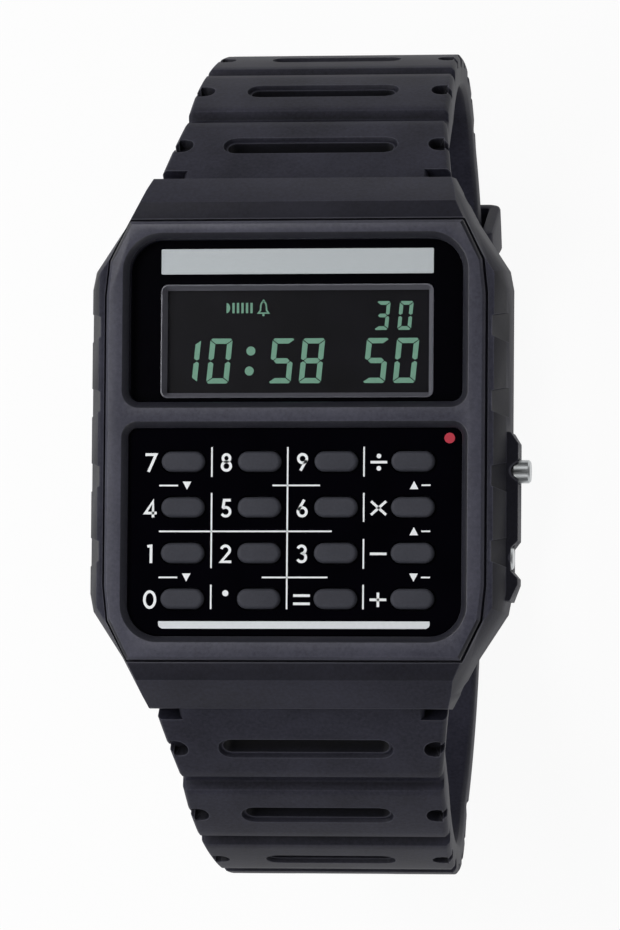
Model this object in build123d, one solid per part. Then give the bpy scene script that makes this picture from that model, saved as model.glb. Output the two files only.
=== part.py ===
from build123d import *
import math
import os

# Case outline, seen from the front
case_half_width = 17.27
side_half_length = 12.4
corner_set_in = 0.3
corner_run = 1.55
shoulder_set_in = 2.75
shoulder_run = 5.3
lug_tip_set_in = 4.82
bezel_half_length = 17.8
lug_length = 3.8
lug_half_span = bezel_half_length + lug_length
corner_x = case_half_width - corner_set_in
corner_y = side_half_length + corner_run
shoulder_x = case_half_width - shoulder_set_in
shoulder_y = side_half_length + shoulder_run
lug_tip_x = case_half_width - lug_tip_set_in

# Case heights, measured from the wrist side of the case back
case_front_z = 7.7
case_ridge_z = 5.9
case_side_low_z = 3.2
case_bottom_z = 0.3
bezel_seat_z = 7.2
front_wall_z = 5.6
panel_ledge_z = 6.7
mask_ledge_z = 6.3

# Case slopes: how far each edge of the outline is drawn in
flange_side_inset = 1.1
flange_corner_inset = 0.9
flange_taper_inset = 0.65
ridge_inset = 0.3
bottom_inset = 1.0

# Case ends, in side view
bezel_joint_gap = 0.18
end_edge_y = bezel_half_length + bezel_joint_gap
facet_run = 1.45
facet_edge_y = end_edge_y + facet_run
facet_edge_z = 7.3
lug_front_z = 4.75
lug_back_z = 3.0
lug_heel_run = 1.0
lug_heel_y = lug_half_span - lug_heel_run

# Bezel plate
bezel_front_z = 8.2
bezel_set_in = 1.77
bezel_half_width = case_half_width - bezel_set_in
bezel_side_y = 11.8
bezel_corner_set_in = 0.3
bezel_corner_x = bezel_half_width - bezel_corner_set_in
bezel_corner_y = 14.6
bezel_end_set_in = 1.9
bezel_end_x = bezel_half_width - bezel_end_set_in
bezel_edge_chamfer = 0.25
window_lip = 0.5
window_lip_depth = 0.45

# Display window, mask and band
bezel_side_rim = 1.85
bezel_end_rim = 1.45
window_half_width = bezel_half_width - bezel_side_rim
window_low_y = 3.1
window_high_y = bezel_half_length - bezel_end_rim
window_top_radius = 2.7
window_low_radius = 0.9
window_front_z = 7.75
seat_gap = 0.05
match_gap = 0.01
mask_front_z = 6.95
band_thickness = 0.1
band_set_in = 2.5
band_half_width = window_half_width - band_set_in
band_top_gap = 0.75
band_height = 2.05
band_high_y = window_high_y - band_top_gap
band_low_y = band_high_y - band_height
rim_edge_gap = 0.4
rim_band_gap = 0.85
rim_low_y = window_low_y + rim_edge_gap
rim_high_y = band_low_y - rim_band_gap
rim_bevel = 0.45

# Liquid crystal panel and its connectors
lcd_side_margin = 0.45
lcd_low_margin = 0.3
lcd_high_margin = 0.2
lcd_half_width = band_half_width + lcd_side_margin
lcd_low_y = rim_low_y - lcd_low_margin
lcd_high_y = rim_high_y + lcd_high_margin
lcd_bottom_z = 5.35
connector_width = 1.0
connector_end_inset = 1.1
connector_half_length = lcd_half_width - connector_end_inset
connector_inset = 0.15

# Keypad
keypad_end_rim = 1.9
window_bar = 2.1
keypad_half_width = window_half_width
keypad_low_y = keypad_end_rim - bezel_half_length
keypad_high_y = window_low_y - window_bar
keypad_top_radius = 0.75
keypad_low_radius = 2.6
keypad_front_z = 7.45
panel_ledge_width = 0.95
key_opening_low_ledge = 1.0
key_opening_high_ledge = 0.6
mat_side_gap = 0.3
key_opening_half_width = keypad_half_width - panel_ledge_width
key_opening_low_y = keypad_low_y + key_opening_low_ledge
key_opening_high_y = keypad_high_y - key_opening_high_ledge
mat_half_width = key_opening_half_width - mat_side_gap
mat_low_y = key_opening_low_y + 2 * mat_side_gap
mat_high_y = key_opening_high_y - mat_side_gap
mat_corner = 2.5
mat_top_z = 5.5

# Keys
key_length = 3.55
key_width = 1.64
key_columns = 4
key_rows = 4
key_left_margin = 4.52
key_right_margin = 4.0
key_high_margin = 2.73
key_low_margin = 3.05
key_first_x = key_left_margin - keypad_half_width
key_pitch_x = (2 * keypad_half_width - key_left_margin - key_right_margin) / (key_columns - 1)
key_first_y = keypad_high_y - key_high_margin
key_pitch_y = (key_first_y - keypad_low_y - key_low_margin) / (key_rows - 1)
key_top_z = 7.85
key_edge_radius = 0.3
key_gap = 0.12
key_flange_margin = 0.33
key_flange_top_z = 6.45
key_flange_low_z = 5.95
key_names = [
    ["key_7", "key_8", "key_9", "key_divide"],
    ["key_4", "key_5", "key_6", "key_multiply"],
    ["key_1", "key_2", "key_3", "key_minus"],
    ["key_0", "key_point", "key_equals", "key_plus"],
]

# Cavity for the module
case_wall = 3.87
case_end_wall = 2.9
cavity_half_width = case_half_width - case_wall
cavity_half_length = bezel_half_length - case_end_wall
cavity_corner = 2.8
module_side_gap = 0.35
module_bottom_z = 1.5
board_bottom_z = 3.6
board_thickness = 0.6

# Case back, its screws and gasket
back_thickness = 0.9
back_set_in = 2.97
back_end_set_in = 1.0
back_half_width = case_half_width - back_set_in
back_half_length = bezel_half_length - back_end_set_in
back_corner = 1.3
back_screw_side_inset = 1.8
back_screw_end_inset = 1.5
back_screw_x = back_half_width - back_screw_side_inset
back_screw_y = back_half_length - back_screw_end_inset
back_screw_head_radius = 1.1
back_screw_head_height = 0.45
back_screw_radius = 0.6
back_screw_tip_z = 3.6
screw_slot_width = 0.3
screw_slot_depth = 0.2
screw_clearance = 0.02
gasket_width = 0.5
gasket_height = 0.45
gasket_wall = 0.25

# Battery, its clip and the sounder
battery_side_room = 3.4
battery_low_room = 1.3
battery_high_room = 8.5
battery_width_fit = cavity_half_width - battery_side_room
battery_length_fit = cavity_half_length - (battery_low_room + battery_high_room) / 2
battery_radius = min(battery_width_fit, battery_length_fit)
battery_y = battery_radius + battery_low_room - cavity_half_length
battery_bottom_z = 1.75
battery_thickness = 1.6
battery_gap = 0.1
clip_end_gap = 0.85
clip_half_length = cavity_half_width - module_side_gap - clip_end_gap
clip_half_width = 1.0
clip_thickness = 0.2
piezo_radius = 5.5
piezo_end_gap = 0.8
piezo_y = cavity_half_length - piezo_end_gap - piezo_radius
piezo_thickness = 0.25
piezo_spring_end_gap = 4.4
piezo_spring_y = cavity_half_length - piezo_spring_end_gap
piezo_spring_radius = 0.7
piezo_spring_wire = 0.12
piezo_spring_turns = 4

# Chip, crystal can and board screws
chip_side_gap = 7.0
chip_end_gap = 4.5
chip_x = chip_side_gap - cavity_half_width
chip_y = cavity_half_length - chip_end_gap
chip_size = 5.0
chip_height = 0.7
crystal_side_gap = 6.4
crystal_x = cavity_half_width - crystal_side_gap
crystal_y = chip_y
crystal_radius = 0.8
crystal_length = 6.0
part_pocket_gap = 0.3
board_screw_edge = 1.05
board_screw_x = cavity_half_width - module_side_gap - board_screw_edge
board_screw_end_gaps = [5.3, 11.9]
board_screw_ys = [cavity_half_length - gap for gap in board_screw_end_gaps]
board_screw_head_radius = 0.8
board_screw_head_height = 0.35
board_screw_radius = 0.45
board_screw_tip_z = 2.3

# Side notches and pusher guard
notch_first_y = 9.25
notch_pitch = 6.08
notch_count = 4
notch_outer_length = 2.55
notch_inner_length = 1.6
notch_depth = 1.25
notch_inner_x = case_half_width - notch_depth
notch_step = 0.4
notch_high_z = case_front_z - notch_step
notch_low_z = 4.8
notch_fall = (case_front_z - case_ridge_z) / (flange_side_inset - ridge_inset)
notch_low_x = notch_inner_x + (notch_high_z - notch_low_z) / notch_fall
guard_bulge = 0.6
guard_x = case_half_width + guard_bulge
guard_high_y = -0.1
guard_low_y = -12.0
guard_slope = 0.9
guard_front_z = 5.0
guard_knee_z = 5.5
guard_back_z = 2.0
scoop_high_y = -8.6
scoop_low_y = -10.45
scoop_height = 0.05
scoop_x = case_half_width + scoop_height
scoop_slope = 0.6

# Pushers
pusher_z = 4.2
mode_pusher_y = -2.37
mode_pusher_reach = 0.95
mode_pusher_tip_x = guard_x + mode_pusher_reach
adjust_pusher_y = -9.4
adjust_pusher_reach = 0.15
adjust_pusher_tip_x = scoop_x + adjust_pusher_reach
pusher_head_radius = 0.95
pusher_head_length = 1.3
pusher_rod_radius = 0.55
pusher_rod_gap = 0.05
pusher_well_radius = 1.1
pusher_well_depth = 2.6
pusher_well_floor_x = case_half_width - pusher_well_depth
pusher_collar_inset = 0.75
pusher_collar_length = 0.4
pusher_clip_gap = 0.35
pusher_clip_thickness = 0.3
pusher_clip_x = cavity_half_width - pusher_clip_gap - pusher_clip_thickness
pusher_tail_length = 0.55
pusher_inner_x = pusher_clip_x - pusher_tail_length
pusher_clip_radius = 1.1
pusher_rim_chamfer = 0.15
pusher_spring_wire = 0.11
pusher_spring_turns = 4
seal_groove_inset = 0.15
seal_groove_length = 0.6
seal_wire = 0.21
module_notch_half_width = 1.5
module_notch_depth = 2.4

# Strap loop: angles turn from the apex, where the outside faces along Y, and rise towards the lug
bar_set_in = 1.75
bar_y = lug_half_span - bar_set_in
bar_z = 2.95
strap_start_thickness = 3.3
strap_root_angle = 46.8
strap_start_angle = 44.8
lug_bend_radius = 60.0
lug_bend_angle = 34.0
apex_bend_radius = 29.5
turn_bend_radius = 16.0
turn_bend_angle = -45.0
back_bend_radius = 34.0
strap_step_angle = 4.8
lug_width = 2.2
lug_gap = 0.2
strap_root_half_width = lug_tip_x - lug_width - lug_gap
strap_corner_notch = 1.85
strap_start_half_width = strap_root_half_width + strap_corner_notch
strap_mid_half_width = 10.9
strap_apex_half_width = 9.75
strap_end_half_width = 9.0
strap_mid_angle = 38.3
strap_end_angle = -45.0
strap_apex_thickness = 2.6
strap_end_thickness = 2.3

# Strap slots, grooves and edge scoops
strap_pitch = 8.71
first_slot_along = 25.47
slot_count = 5
first_slot_length = 13.75
slot_length_step = 1.75
slot_width = 1.5
slot_rim_width = 2.1
slot_rim_depth = 0.3
groove_top_width = 1.8
groove_floor_width = 1.1
groove_depth = 0.75
edge_scoop_radius = 0.9
edge_scoop_set_in = 0.75
edge_scoop_depth = 0.9

# Spring bars
bar_tube_radius = 0.9
bar_tube_wall = 0.22
bar_tube_end_gap = 0.1
bar_tube_half_length = strap_root_half_width - bar_tube_end_gap
bar_bore_gap = 0.1
bar_boss_radius = 1.6
bar_pin_radius = 0.5
bar_pin_reach = 1.8
bar_pin_tip_chamfer = 0.17
bar_pin_tip_x = bar_tube_half_length + bar_pin_reach
bar_pin_foot_length = 1.4
bar_pin_foot_x = 6.2
bar_lip_length = 0.4
bar_running_gap = 0.04
bar_spring_wire = 0.12
bar_spring_turns = 9
lug_recess_back_gap = 1.95
lug_recess_wall_y = bar_y - lug_recess_back_gap
lug_recess_roof_z = 4.75
lug_recess_mouth_z = 3.95

# Tail of the lower strap
tail_gap = 0.3
tail_thickness = 2.2
tail_ramp_start_y = 5.4
tail_ramp_end_y = 0.0
tail_ramp_steps = 6
tail_tip_angle = 58.5
tail_tip_length = 6.0
tail_tip_half_width = 4.5
tail_tip_shares = [(0.5, 0.8), (1.0, 0.0)]
tail_hole_in_use_y = 1.7
tail_hole_length = 5.4
tail_hole_width = 2.2
tail_hole_pitch = 7.4
tail_spare_holes = 3

# Buckle
buckle_bar_y = 2.0
buckle_pin_radius = 0.7
buckle_pin_gap = 0.06
buckle_boss_radius = 1.25
buckle_side_gap = 0.6
buckle_side_width = 1.4
buckle_half_width = strap_end_half_width + buckle_side_gap + buckle_side_width
buckle_cross_y = -7.2
buckle_cross_width = 2.0
buckle_cross_height = 2.4
buckle_cross_gap = 0.3
buckle_eye_radius = 1.3
tang_width = 1.5
tang_thickness = 1.0
tang_slot_gap = 0.3
tang_notch_depth = 1.2
tang_tip_margin = 0.3

# Keepers
keeper_thickness = 1.0
fixed_keeper_thickness = 0.95
keeper_gap = 0.3
fixed_keeper_low_y = 8.0
fixed_keeper_high_y = 11.5
loose_keeper_start_angle = 64.0
loose_keeper_end_angle = 73.5

# One overrun serves every cut
cut = 1.0


def block(x0, x1, y0, y1, z0, z1):
    return Pos((x0 + x1) / 2, (y0 + y1) / 2, (z0 + z1) / 2) * Box(x1 - x0, y1 - y0, z1 - z0)


def plan_face(points, z):
    return make_face(Polyline(*[(x, y, z) for x, y in points], close=True))


def plan_prism(points, z0, z1):
    return extrude(plan_face(points, z0), amount=z1 - z0, dir=(0, 0, 1))


def flat_face(corners):
    return make_face(Polyline(*corners, close=True)).faces()[0]


def plan_loft(low_points, z0, high_points, z1):
    """A solid with flat sides between two outlines whose edges are parallel."""
    low = [(x, y, z0) for x, y in low_points]
    high = [(x, y, z1) for x, y in high_points]
    faces = [flat_face(low), flat_face(high)]
    for i in range(len(low)):
        j = (i + 1) % len(low)
        faces.append(flat_face([low[i], low[j], high[j], high[i]]))
    return Part() + Solid(Shell(faces))


def side_prism(points, x0, x1):
    face = make_face(Polyline(*[(x0, y, z) for y, z in points], close=True))
    return extrude(face, amount=x1 - x0, dir=(1, 0, 0))


def end_prism(points, y0, y1):
    """An outline of (x, z) points, run along Y."""
    face = make_face(Polyline(*[(x, y0, z) for x, z in points], close=True))
    return extrude(face, amount=y1 - y0, dir=(0, 1, 0))


def four_corners(quarter):
    right_low = [(x, -y) for x, y in quarter]
    left_high = [(-x, y) for x, y in reversed(quarter)]
    left_low = [(-x, -y) for x, y in quarter]
    return quarter + left_high + left_low + list(reversed(right_low))


def drawn_in(points, distances):
    """Moves each edge of a convex outline inwards and returns the new corners."""
    count = len(points)
    edges = []
    for i in range(count):
        (ax, ay), (bx, by) = points[i], points[(i + 1) % count]
        length = math.hypot(bx - ax, by - ay)
        nx, ny = (by - ay) / length, (ax - bx) / length
        edges.append((nx, ny, nx * ax + ny * ay - distances[i]))
    corners = []
    for i in range(count):
        a1, b1, c1 = edges[i - 1]
        a2, b2, c2 = edges[i]
        det = a1 * b2 - a2 * b1
        corners.append(((c1 * b2 - c2 * b1) / det, (a1 * c2 - a2 * c1) / det))
    return corners


def cut_corner_plate(half_width, y0, y1, corner, z0, z1):
    points = [
        (half_width, y0 + corner), (half_width, y1 - corner), (half_width - corner, y1),
        (corner - half_width, y1), (-half_width, y1 - corner), (-half_width, y0 + corner),
        (corner - half_width, y0), (half_width - corner, y0),
    ]
    return plan_prism(points, z0, z1)


def rounded_plate(half_width, y0, y1, low_radius, high_radius, z0, z1):
    plate = block(-half_width, half_width, y0, y1, z0, z1)
    middle = (y0 + y1) / 2
    corners = plate.edges().filter_by(Axis.Z)
    plate = fillet([e for e in corners if e.center().Y < middle], low_radius)
    corners = plate.edges().filter_by(Axis.Z)
    sharp = [e for e in corners if abs(e.center().Y - y1) < match_gap]
    return fillet(sharp, high_radius)


def rod_x(radius, x0, x1, y, z):
    return Pos((x0 + x1) / 2, y, z) * Rot(0, 90, 0) * Cylinder(radius, abs(x1 - x0))


def rod_z(radius, x, y, z0, z1):
    return Pos(x, y, (z0 + z1) / 2) * Cylinder(radius, z1 - z0)


def coil(radius, wire, length, turns, place):
    """A round wire spring from 0 to its length along its own Z axis."""
    path = Helix(pitch=(length - 2 * wire) / turns, height=length - 2 * wire, radius=radius)
    section = Plane(origin=path @ 0, z_dir=path % 0) * Circle(wire)
    return place * Pos(0, 0, wire) * sweep(section, path=path, is_frenet=True)


# Case body

def case_outline():
    quarter = [
        (case_half_width, side_half_length), (corner_x, corner_y), (shoulder_x, shoulder_y),
        (lug_tip_x, lug_half_span),
    ]
    return four_corners(quarter)


def case_insets(side, corner, taper):
    end = 0
    quarter = [corner, corner, taper]
    half = quarter + [end] + list(reversed(quarter)) + [side]
    return half + half


def case_blank():
    outline = case_outline()
    top = drawn_in(outline, case_insets(flange_side_inset, flange_corner_inset, flange_taper_inset))
    ridge = drawn_in(outline, case_insets(ridge_inset, ridge_inset, ridge_inset))
    bottom = drawn_in(outline, case_insets(bottom_inset, bottom_inset, bottom_inset))
    blank = plan_loft(ridge, case_ridge_z, top, case_front_z)
    blank += plan_loft(outline, case_side_low_z, ridge, case_ridge_z)
    blank += plan_loft(bottom, case_bottom_z, outline, case_side_low_z)
    half = [
        (end_edge_y, case_front_z), (facet_edge_y, facet_edge_z), (lug_half_span, lug_front_z),
        (lug_half_span, lug_back_z), (lug_heel_y, case_bottom_z),
    ]
    profile = half + [(-y, z) for y, z in reversed(half)]
    return blank & side_prism(profile, -case_half_width - cut, case_half_width + cut)


def bezel_outline(gap=0.0):
    quarter = [
        (bezel_half_width, bezel_side_y), (bezel_corner_x, bezel_corner_y), (bezel_end_x, bezel_half_length),
    ]
    points = four_corners(quarter)
    return drawn_in(points, [-gap] * len(points))


def guard():
    """The swelling that shields the pushers on the right side."""
    root_x = notch_inner_x - cut
    points = [
        (root_x, guard_high_y + guard_slope), (case_half_width, guard_high_y + guard_slope),
        (guard_x, guard_high_y), (guard_x, scoop_high_y + scoop_slope), (scoop_x, scoop_high_y),
        (scoop_x, scoop_low_y), (guard_x, scoop_low_y - scoop_slope),
        (guard_x, guard_low_y + guard_slope / 2),
        (case_half_width, guard_low_y - guard_slope), (root_x, guard_low_y - guard_slope),
    ]
    profile = [
        (root_x, guard_back_z), (case_half_width, guard_back_z), (guard_x, guard_back_z + guard_bulge),
        (guard_x, guard_front_z), (case_half_width - ridge_inset, guard_knee_z),
        (notch_inner_x, notch_high_z), (root_x, notch_high_z),
    ]
    body = plan_prism(points, guard_back_z, case_front_z)
    return body & end_prism(profile, guard_low_y - guard_slope, guard_high_y + guard_slope)


def side_notches():
    """Shallow steps in the flange, whose floors fall outwards as the flange does."""
    outer_x = case_half_width + cut
    top_z = case_front_z + cut
    profile = [
        (notch_inner_x, top_z), (notch_inner_x, notch_high_z), (notch_low_x, notch_low_z),
        (outer_x, notch_low_z), (outer_x, top_z),
    ]
    wedge = end_prism(profile, -side_half_length, side_half_length)
    cuts = Part()
    for i in range(notch_count):
        y = notch_first_y - i * notch_pitch
        inner = notch_inner_length / 2
        outer = notch_outer_length / 2
        points = [
            (notch_inner_x, y - inner), (notch_inner_x, y + inner), (case_half_width, y + outer),
            (outer_x, y + outer), (outer_x, y - outer), (case_half_width, y - outer),
        ]
        cuts += wedge & plan_prism(points, notch_low_z, top_z)
    return cuts + mirror(cuts, about=Plane.YZ)


def lug_recess():
    """The space between one pair of lugs, drawn for the upper pair."""
    points = [
        (lug_recess_wall_y, case_bottom_z - cut), (lug_recess_wall_y, lug_recess_roof_z),
        (bar_y + cut, lug_recess_roof_z), (lug_half_span, lug_recess_mouth_z),
        (lug_half_span + cut, lug_recess_mouth_z), (lug_half_span + cut, case_bottom_z - cut),
    ]
    half = strap_root_half_width + lug_gap
    recess = side_prism(points, -half, half)
    hole = bar_pin_radius + bar_bore_gap
    return recess + rod_x(hole, -case_half_width, case_half_width, bar_y, bar_z)


def pusher_bore(y, outer_x):
    bore = rod_x(pusher_rod_radius + pusher_rod_gap, cavity_half_width - cut, outer_x, y, pusher_z)
    well = rod_x(pusher_well_radius, pusher_well_floor_x, outer_x + cut, y, pusher_z)
    groove_end = pusher_well_floor_x - seal_groove_inset
    groove = rod_x(pusher_well_radius, groove_end - seal_groove_length, groove_end, y, pusher_z)
    return bore + well + groove


def cavity():
    low = -cavity_half_length
    room = cut_corner_plate(
        cavity_half_width, low, cavity_half_length, cavity_corner, back_thickness, front_wall_z
    )
    keys = block(
        -key_opening_half_width, key_opening_half_width, key_opening_low_y, key_opening_high_y,
        front_wall_z, panel_ledge_z,
    )
    panel = rounded_plate(
        keypad_half_width, keypad_low_y, keypad_high_y, keypad_low_radius, keypad_top_radius,
        panel_ledge_z, bezel_seat_z,
    )
    lcd_room = block(
        -lcd_half_width - seat_gap, lcd_half_width + seat_gap, lcd_low_y - seat_gap, lcd_high_y + seat_gap,
        front_wall_z, mask_ledge_z,
    )
    window = rounded_plate(
        window_half_width, window_low_y, window_high_y, window_low_radius, window_top_radius,
        mask_ledge_z, bezel_seat_z,
    )
    return room + keys + panel + lcd_room + window


def back_plate(gap, z0, z1):
    return cut_corner_plate(
        back_half_width + gap, -back_half_length - gap, back_half_length + gap, back_corner + gap, z0, z1
    )


def gasket_ring(gap, height):
    inner = gasket_wall - gap
    outer = inner + gasket_width + 2 * gap
    z0, z1 = back_thickness, back_thickness + height
    ring = cut_corner_plate(
        cavity_half_width + outer, -cavity_half_length - outer, cavity_half_length + outer,
        cavity_corner + outer / 2, z0, z1,
    )
    return ring - cut_corner_plate(
        cavity_half_width + inner, -cavity_half_length - inner, cavity_half_length + inner,
        cavity_corner + inner / 2, z0, z1,
    )


def case_body():
    body = case_blank() - side_notches() + guard()
    body -= plan_prism(bezel_outline(bezel_joint_gap), bezel_seat_z, case_front_z + cut)
    body -= cavity()
    body -= back_plate(seat_gap, case_bottom_z - cut, back_thickness)
    body -= gasket_ring(screw_clearance, gasket_height + screw_clearance)
    recess = lug_recess()
    body -= recess + mirror(recess, about=Plane.XZ)
    for x in (-back_screw_x, back_screw_x):
        for y in (-back_screw_y, back_screw_y):
            depth = back_screw_tip_z + part_pocket_gap
            body -= rod_z(back_screw_radius + screw_clearance, x, y, back_thickness, depth)
    body -= pusher_bore(mode_pusher_y, guard_x)
    body -= pusher_bore(adjust_pusher_y, guard_x)
    return body


# Bezel and what lies behind it

def lipped_opening(half_width, y0, y1, low_radius, high_radius):
    through = rounded_plate(
        half_width, y0, y1, low_radius, high_radius, bezel_seat_z - cut, bezel_front_z + cut
    )
    points = [(-half_width, y0), (half_width, y0), (half_width, y1), (-half_width, y1)]
    outer = half_width + window_lip
    lip_y0, lip_y1 = y0 - window_lip, y1 + window_lip
    lip = [(-outer, lip_y0), (outer, lip_y0), (outer, lip_y1), (-outer, lip_y1)]
    low = fillet_corners(plan_face(points, bezel_front_z - window_lip_depth), y0, y1, low_radius, high_radius)
    high = fillet_corners(
        plan_face(lip, bezel_front_z), lip_y0, lip_y1, low_radius + window_lip, high_radius + window_lip,
    )
    return through + loft([low, high])


def fillet_corners(face, y0, y1, low_radius, high_radius):
    middle = (y0 + y1) / 2
    face = fillet([v for v in face.vertices() if v.Y < middle], low_radius)
    tops = [v for v in face.vertices() if abs(v.Y - y1) < match_gap]
    return fillet(tops, high_radius)


def bezel():
    outline = bezel_outline()
    inner = drawn_in(outline, [bezel_edge_chamfer] * len(outline))
    edge_z = bezel_front_z - bezel_edge_chamfer
    plate = plan_prism(outline, bezel_seat_z, edge_z) + plan_loft(outline, edge_z, inner, bezel_front_z)
    plate -= lipped_opening(
        window_half_width, window_low_y, window_high_y, window_low_radius, window_top_radius
    )
    plate -= lipped_opening(
        keypad_half_width, keypad_low_y, keypad_high_y, keypad_low_radius, keypad_top_radius
    )
    return plate


def window_plate(z0, z1):
    return rounded_plate(
        window_half_width - seat_gap, window_low_y + seat_gap, window_high_y - seat_gap,
        window_low_radius, window_top_radius, z0, z1,
    )


def display_window():
    return window_plate(mask_front_z + band_thickness + seat_gap, window_front_z)


def display_mask():
    mask = window_plate(mask_ledge_z, mask_front_z)
    low_half = band_half_width - rim_bevel
    low = [
        (-low_half, rim_low_y + rim_bevel), (low_half, rim_low_y + rim_bevel),
        (low_half, rim_high_y - rim_bevel), (-low_half, rim_high_y - rim_bevel),
    ]
    high = [
        (-band_half_width, rim_low_y), (band_half_width, rim_low_y),
        (band_half_width, rim_high_y), (-band_half_width, rim_high_y),
    ]
    return mask - plan_loft(low, mask_ledge_z, high, mask_front_z)


def name_band():
    return rounded_plate(
        band_half_width, band_low_y, band_high_y, band_thickness, band_thickness,
        mask_front_z, mask_front_z + band_thickness,
    )


def lcd_panel():
    top = mask_ledge_z - seat_gap
    return block(-lcd_half_width, lcd_half_width, lcd_low_y, lcd_high_y, lcd_bottom_z, top)


def lcd_connectors():
    board_top = board_bottom_z + board_thickness
    low = lcd_low_y + connector_inset
    high = lcd_high_y - connector_inset
    strips = block(
        -connector_half_length, connector_half_length, low, low + connector_width, board_top, lcd_bottom_z
    )
    return strips + block(
        -connector_half_length, connector_half_length, high - connector_width, high, board_top, lcd_bottom_z
    )


# Keypad

def key_places():
    for row in range(key_rows):
        for column in range(key_columns):
            x = key_first_x + column * key_pitch_x
            y = key_first_y - row * key_pitch_y
            yield key_names[row][column], x, y


def pill(length, width, x, y, z0, z1):
    return Pos(x, y, z0) * extrude(SlotOverall(length, width), amount=z1 - z0)


def keypad_panel():
    panel = rounded_plate(
        keypad_half_width - seat_gap, keypad_low_y + seat_gap, keypad_high_y - seat_gap,
        keypad_low_radius, keypad_top_radius, panel_ledge_z, keypad_front_z,
    )
    for name, x, y in key_places():
        panel -= pill(
            key_length + 2 * key_gap, key_width + 2 * key_gap, x, y, panel_ledge_z - cut, keypad_front_z + cut
        )
    return panel


def key(x, y):
    cap = pill(key_length, key_width, x, y, key_flange_low_z, key_top_z)
    cap = fillet(cap.faces().sort_by(Axis.Z)[-1].edges(), key_edge_radius)
    margin = 2 * key_flange_margin
    return cap + pill(key_length + margin, key_width + margin, x, y, key_flange_low_z, key_flange_top_z)


def keypad_mat():
    board_top = board_bottom_z + board_thickness
    mat = cut_corner_plate(mat_half_width, mat_low_y, mat_high_y, mat_corner, board_top, mat_top_z)
    return mat - module_notches(board_top - cut, mat_top_z + cut)


# Module

def module_half_width():
    return cavity_half_width - module_side_gap


def module_plate(z0, z1):
    half_length = cavity_half_length - module_side_gap
    return cut_corner_plate(module_half_width(), -half_length, half_length, cavity_corner, z0, z1)


def module_notches(z0, z1):
    x0 = module_half_width() - module_notch_depth
    cuts = Part()
    for y in (mode_pusher_y, adjust_pusher_y):
        cuts += block(
            x0, cavity_half_width, y - module_notch_half_width, y + module_notch_half_width, z0, z1
        )
    return cuts


def module_frame():
    frame = module_plate(module_bottom_z, board_bottom_z) - module_notches(0, board_bottom_z + cut)
    battery_top = battery_bottom_z + battery_thickness
    frame -= rod_z(battery_radius + battery_gap, 0, battery_y, module_bottom_z - cut, battery_top + seat_gap)
    clip_z = module_bottom_z + clip_thickness + seat_gap
    frame -= clip_bar(battery_gap, module_bottom_z - cut, clip_z)
    half = chip_size / 2 + part_pocket_gap
    frame -= block(
        chip_x - half, chip_x + half, chip_y - half, chip_y + half, board_bottom_z - chip_height - seat_gap,
        board_bottom_z + cut,
    )
    half_length = crystal_length / 2 + part_pocket_gap
    half_width = crystal_radius + part_pocket_gap
    frame -= block(
        crystal_x - half_width, crystal_x + half_width, crystal_y - half_length, crystal_y + half_length,
        board_bottom_z - 2 * crystal_radius - seat_gap, board_bottom_z + cut,
    )
    spring_hole = piezo_spring_radius + piezo_spring_wire + part_pocket_gap
    frame -= rod_z(spring_hole, 0, piezo_spring_y, module_bottom_z - cut, board_bottom_z + cut)
    for x, y in board_screw_places():
        tip_z = board_screw_tip_z - seat_gap
        frame -= rod_z(board_screw_radius + screw_clearance, x, y, tip_z, board_bottom_z)
    return frame


def board_screw_places():
    return [(side * board_screw_x, y) for side in (-1, 1) for y in board_screw_ys]


def main_board():
    board_top = board_bottom_z + board_thickness
    board = module_plate(board_bottom_z, board_top) - module_notches(0, board_top + cut)
    for x, y in board_screw_places():
        board -= rod_z(board_screw_radius + screw_clearance, x, y, board_bottom_z - cut, board_top + cut)
    return board


def board_screws():
    board_top = board_bottom_z + board_thickness
    head_z = board_top + board_screw_head_height
    screws = Part()
    for x, y in board_screw_places():
        screw = rod_z(board_screw_radius, x, y, board_screw_tip_z, board_top)
        screw += rod_z(board_screw_head_radius, x, y, board_top, head_z)
        slot = screw_slot_width / 2
        reach = board_screw_head_radius + cut
        screw -= block(x - reach, x + reach, y - slot, y + slot, head_z - screw_slot_depth, head_z + cut)
        screws += screw
    return screws


def chip():
    half = chip_size / 2
    return block(
        chip_x - half, chip_x + half, chip_y - half, chip_y + half,
        board_bottom_z - chip_height, board_bottom_z,
    )


def crystal_can():
    can = Pos(crystal_x, crystal_y, board_bottom_z - crystal_radius) * Rot(90, 0, 0)
    return can * Cylinder(crystal_radius, crystal_length)


def battery():
    cell = rod_z(battery_radius, 0, battery_y, battery_bottom_z, battery_bottom_z + battery_thickness)
    rim = cell.edges().filter_by(GeomType.CIRCLE)
    return chamfer(rim, battery_gap)


def clip_bar(gap, z0, z1):
    half_length = clip_half_length + gap
    half_width = clip_half_width + gap
    return block(-half_length, half_length, battery_y - half_width, battery_y + half_width, z0, z1)


def battery_clip():
    return clip_bar(0, module_bottom_z, module_bottom_z + clip_thickness)


def piezo_disc():
    return rod_z(piezo_radius, 0, piezo_y, back_thickness, back_thickness + piezo_thickness)


def piezo_spring():
    low = back_thickness + piezo_thickness
    place = Pos(0, piezo_spring_y, low)
    return coil(piezo_spring_radius, piezo_spring_wire, board_bottom_z - low, piezo_spring_turns, place)


# Case back

def case_back():
    plate = back_plate(0, 0, back_thickness)
    for x in (-back_screw_x, back_screw_x):
        for y in (-back_screw_y, back_screw_y):
            plate -= rod_z(back_screw_radius + screw_clearance, x, y, -cut, back_thickness + cut)
            plate -= rod_z(
                back_screw_head_radius + seat_gap, x, y, -cut, seat_gap + back_screw_head_height
            )
    return plate


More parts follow.
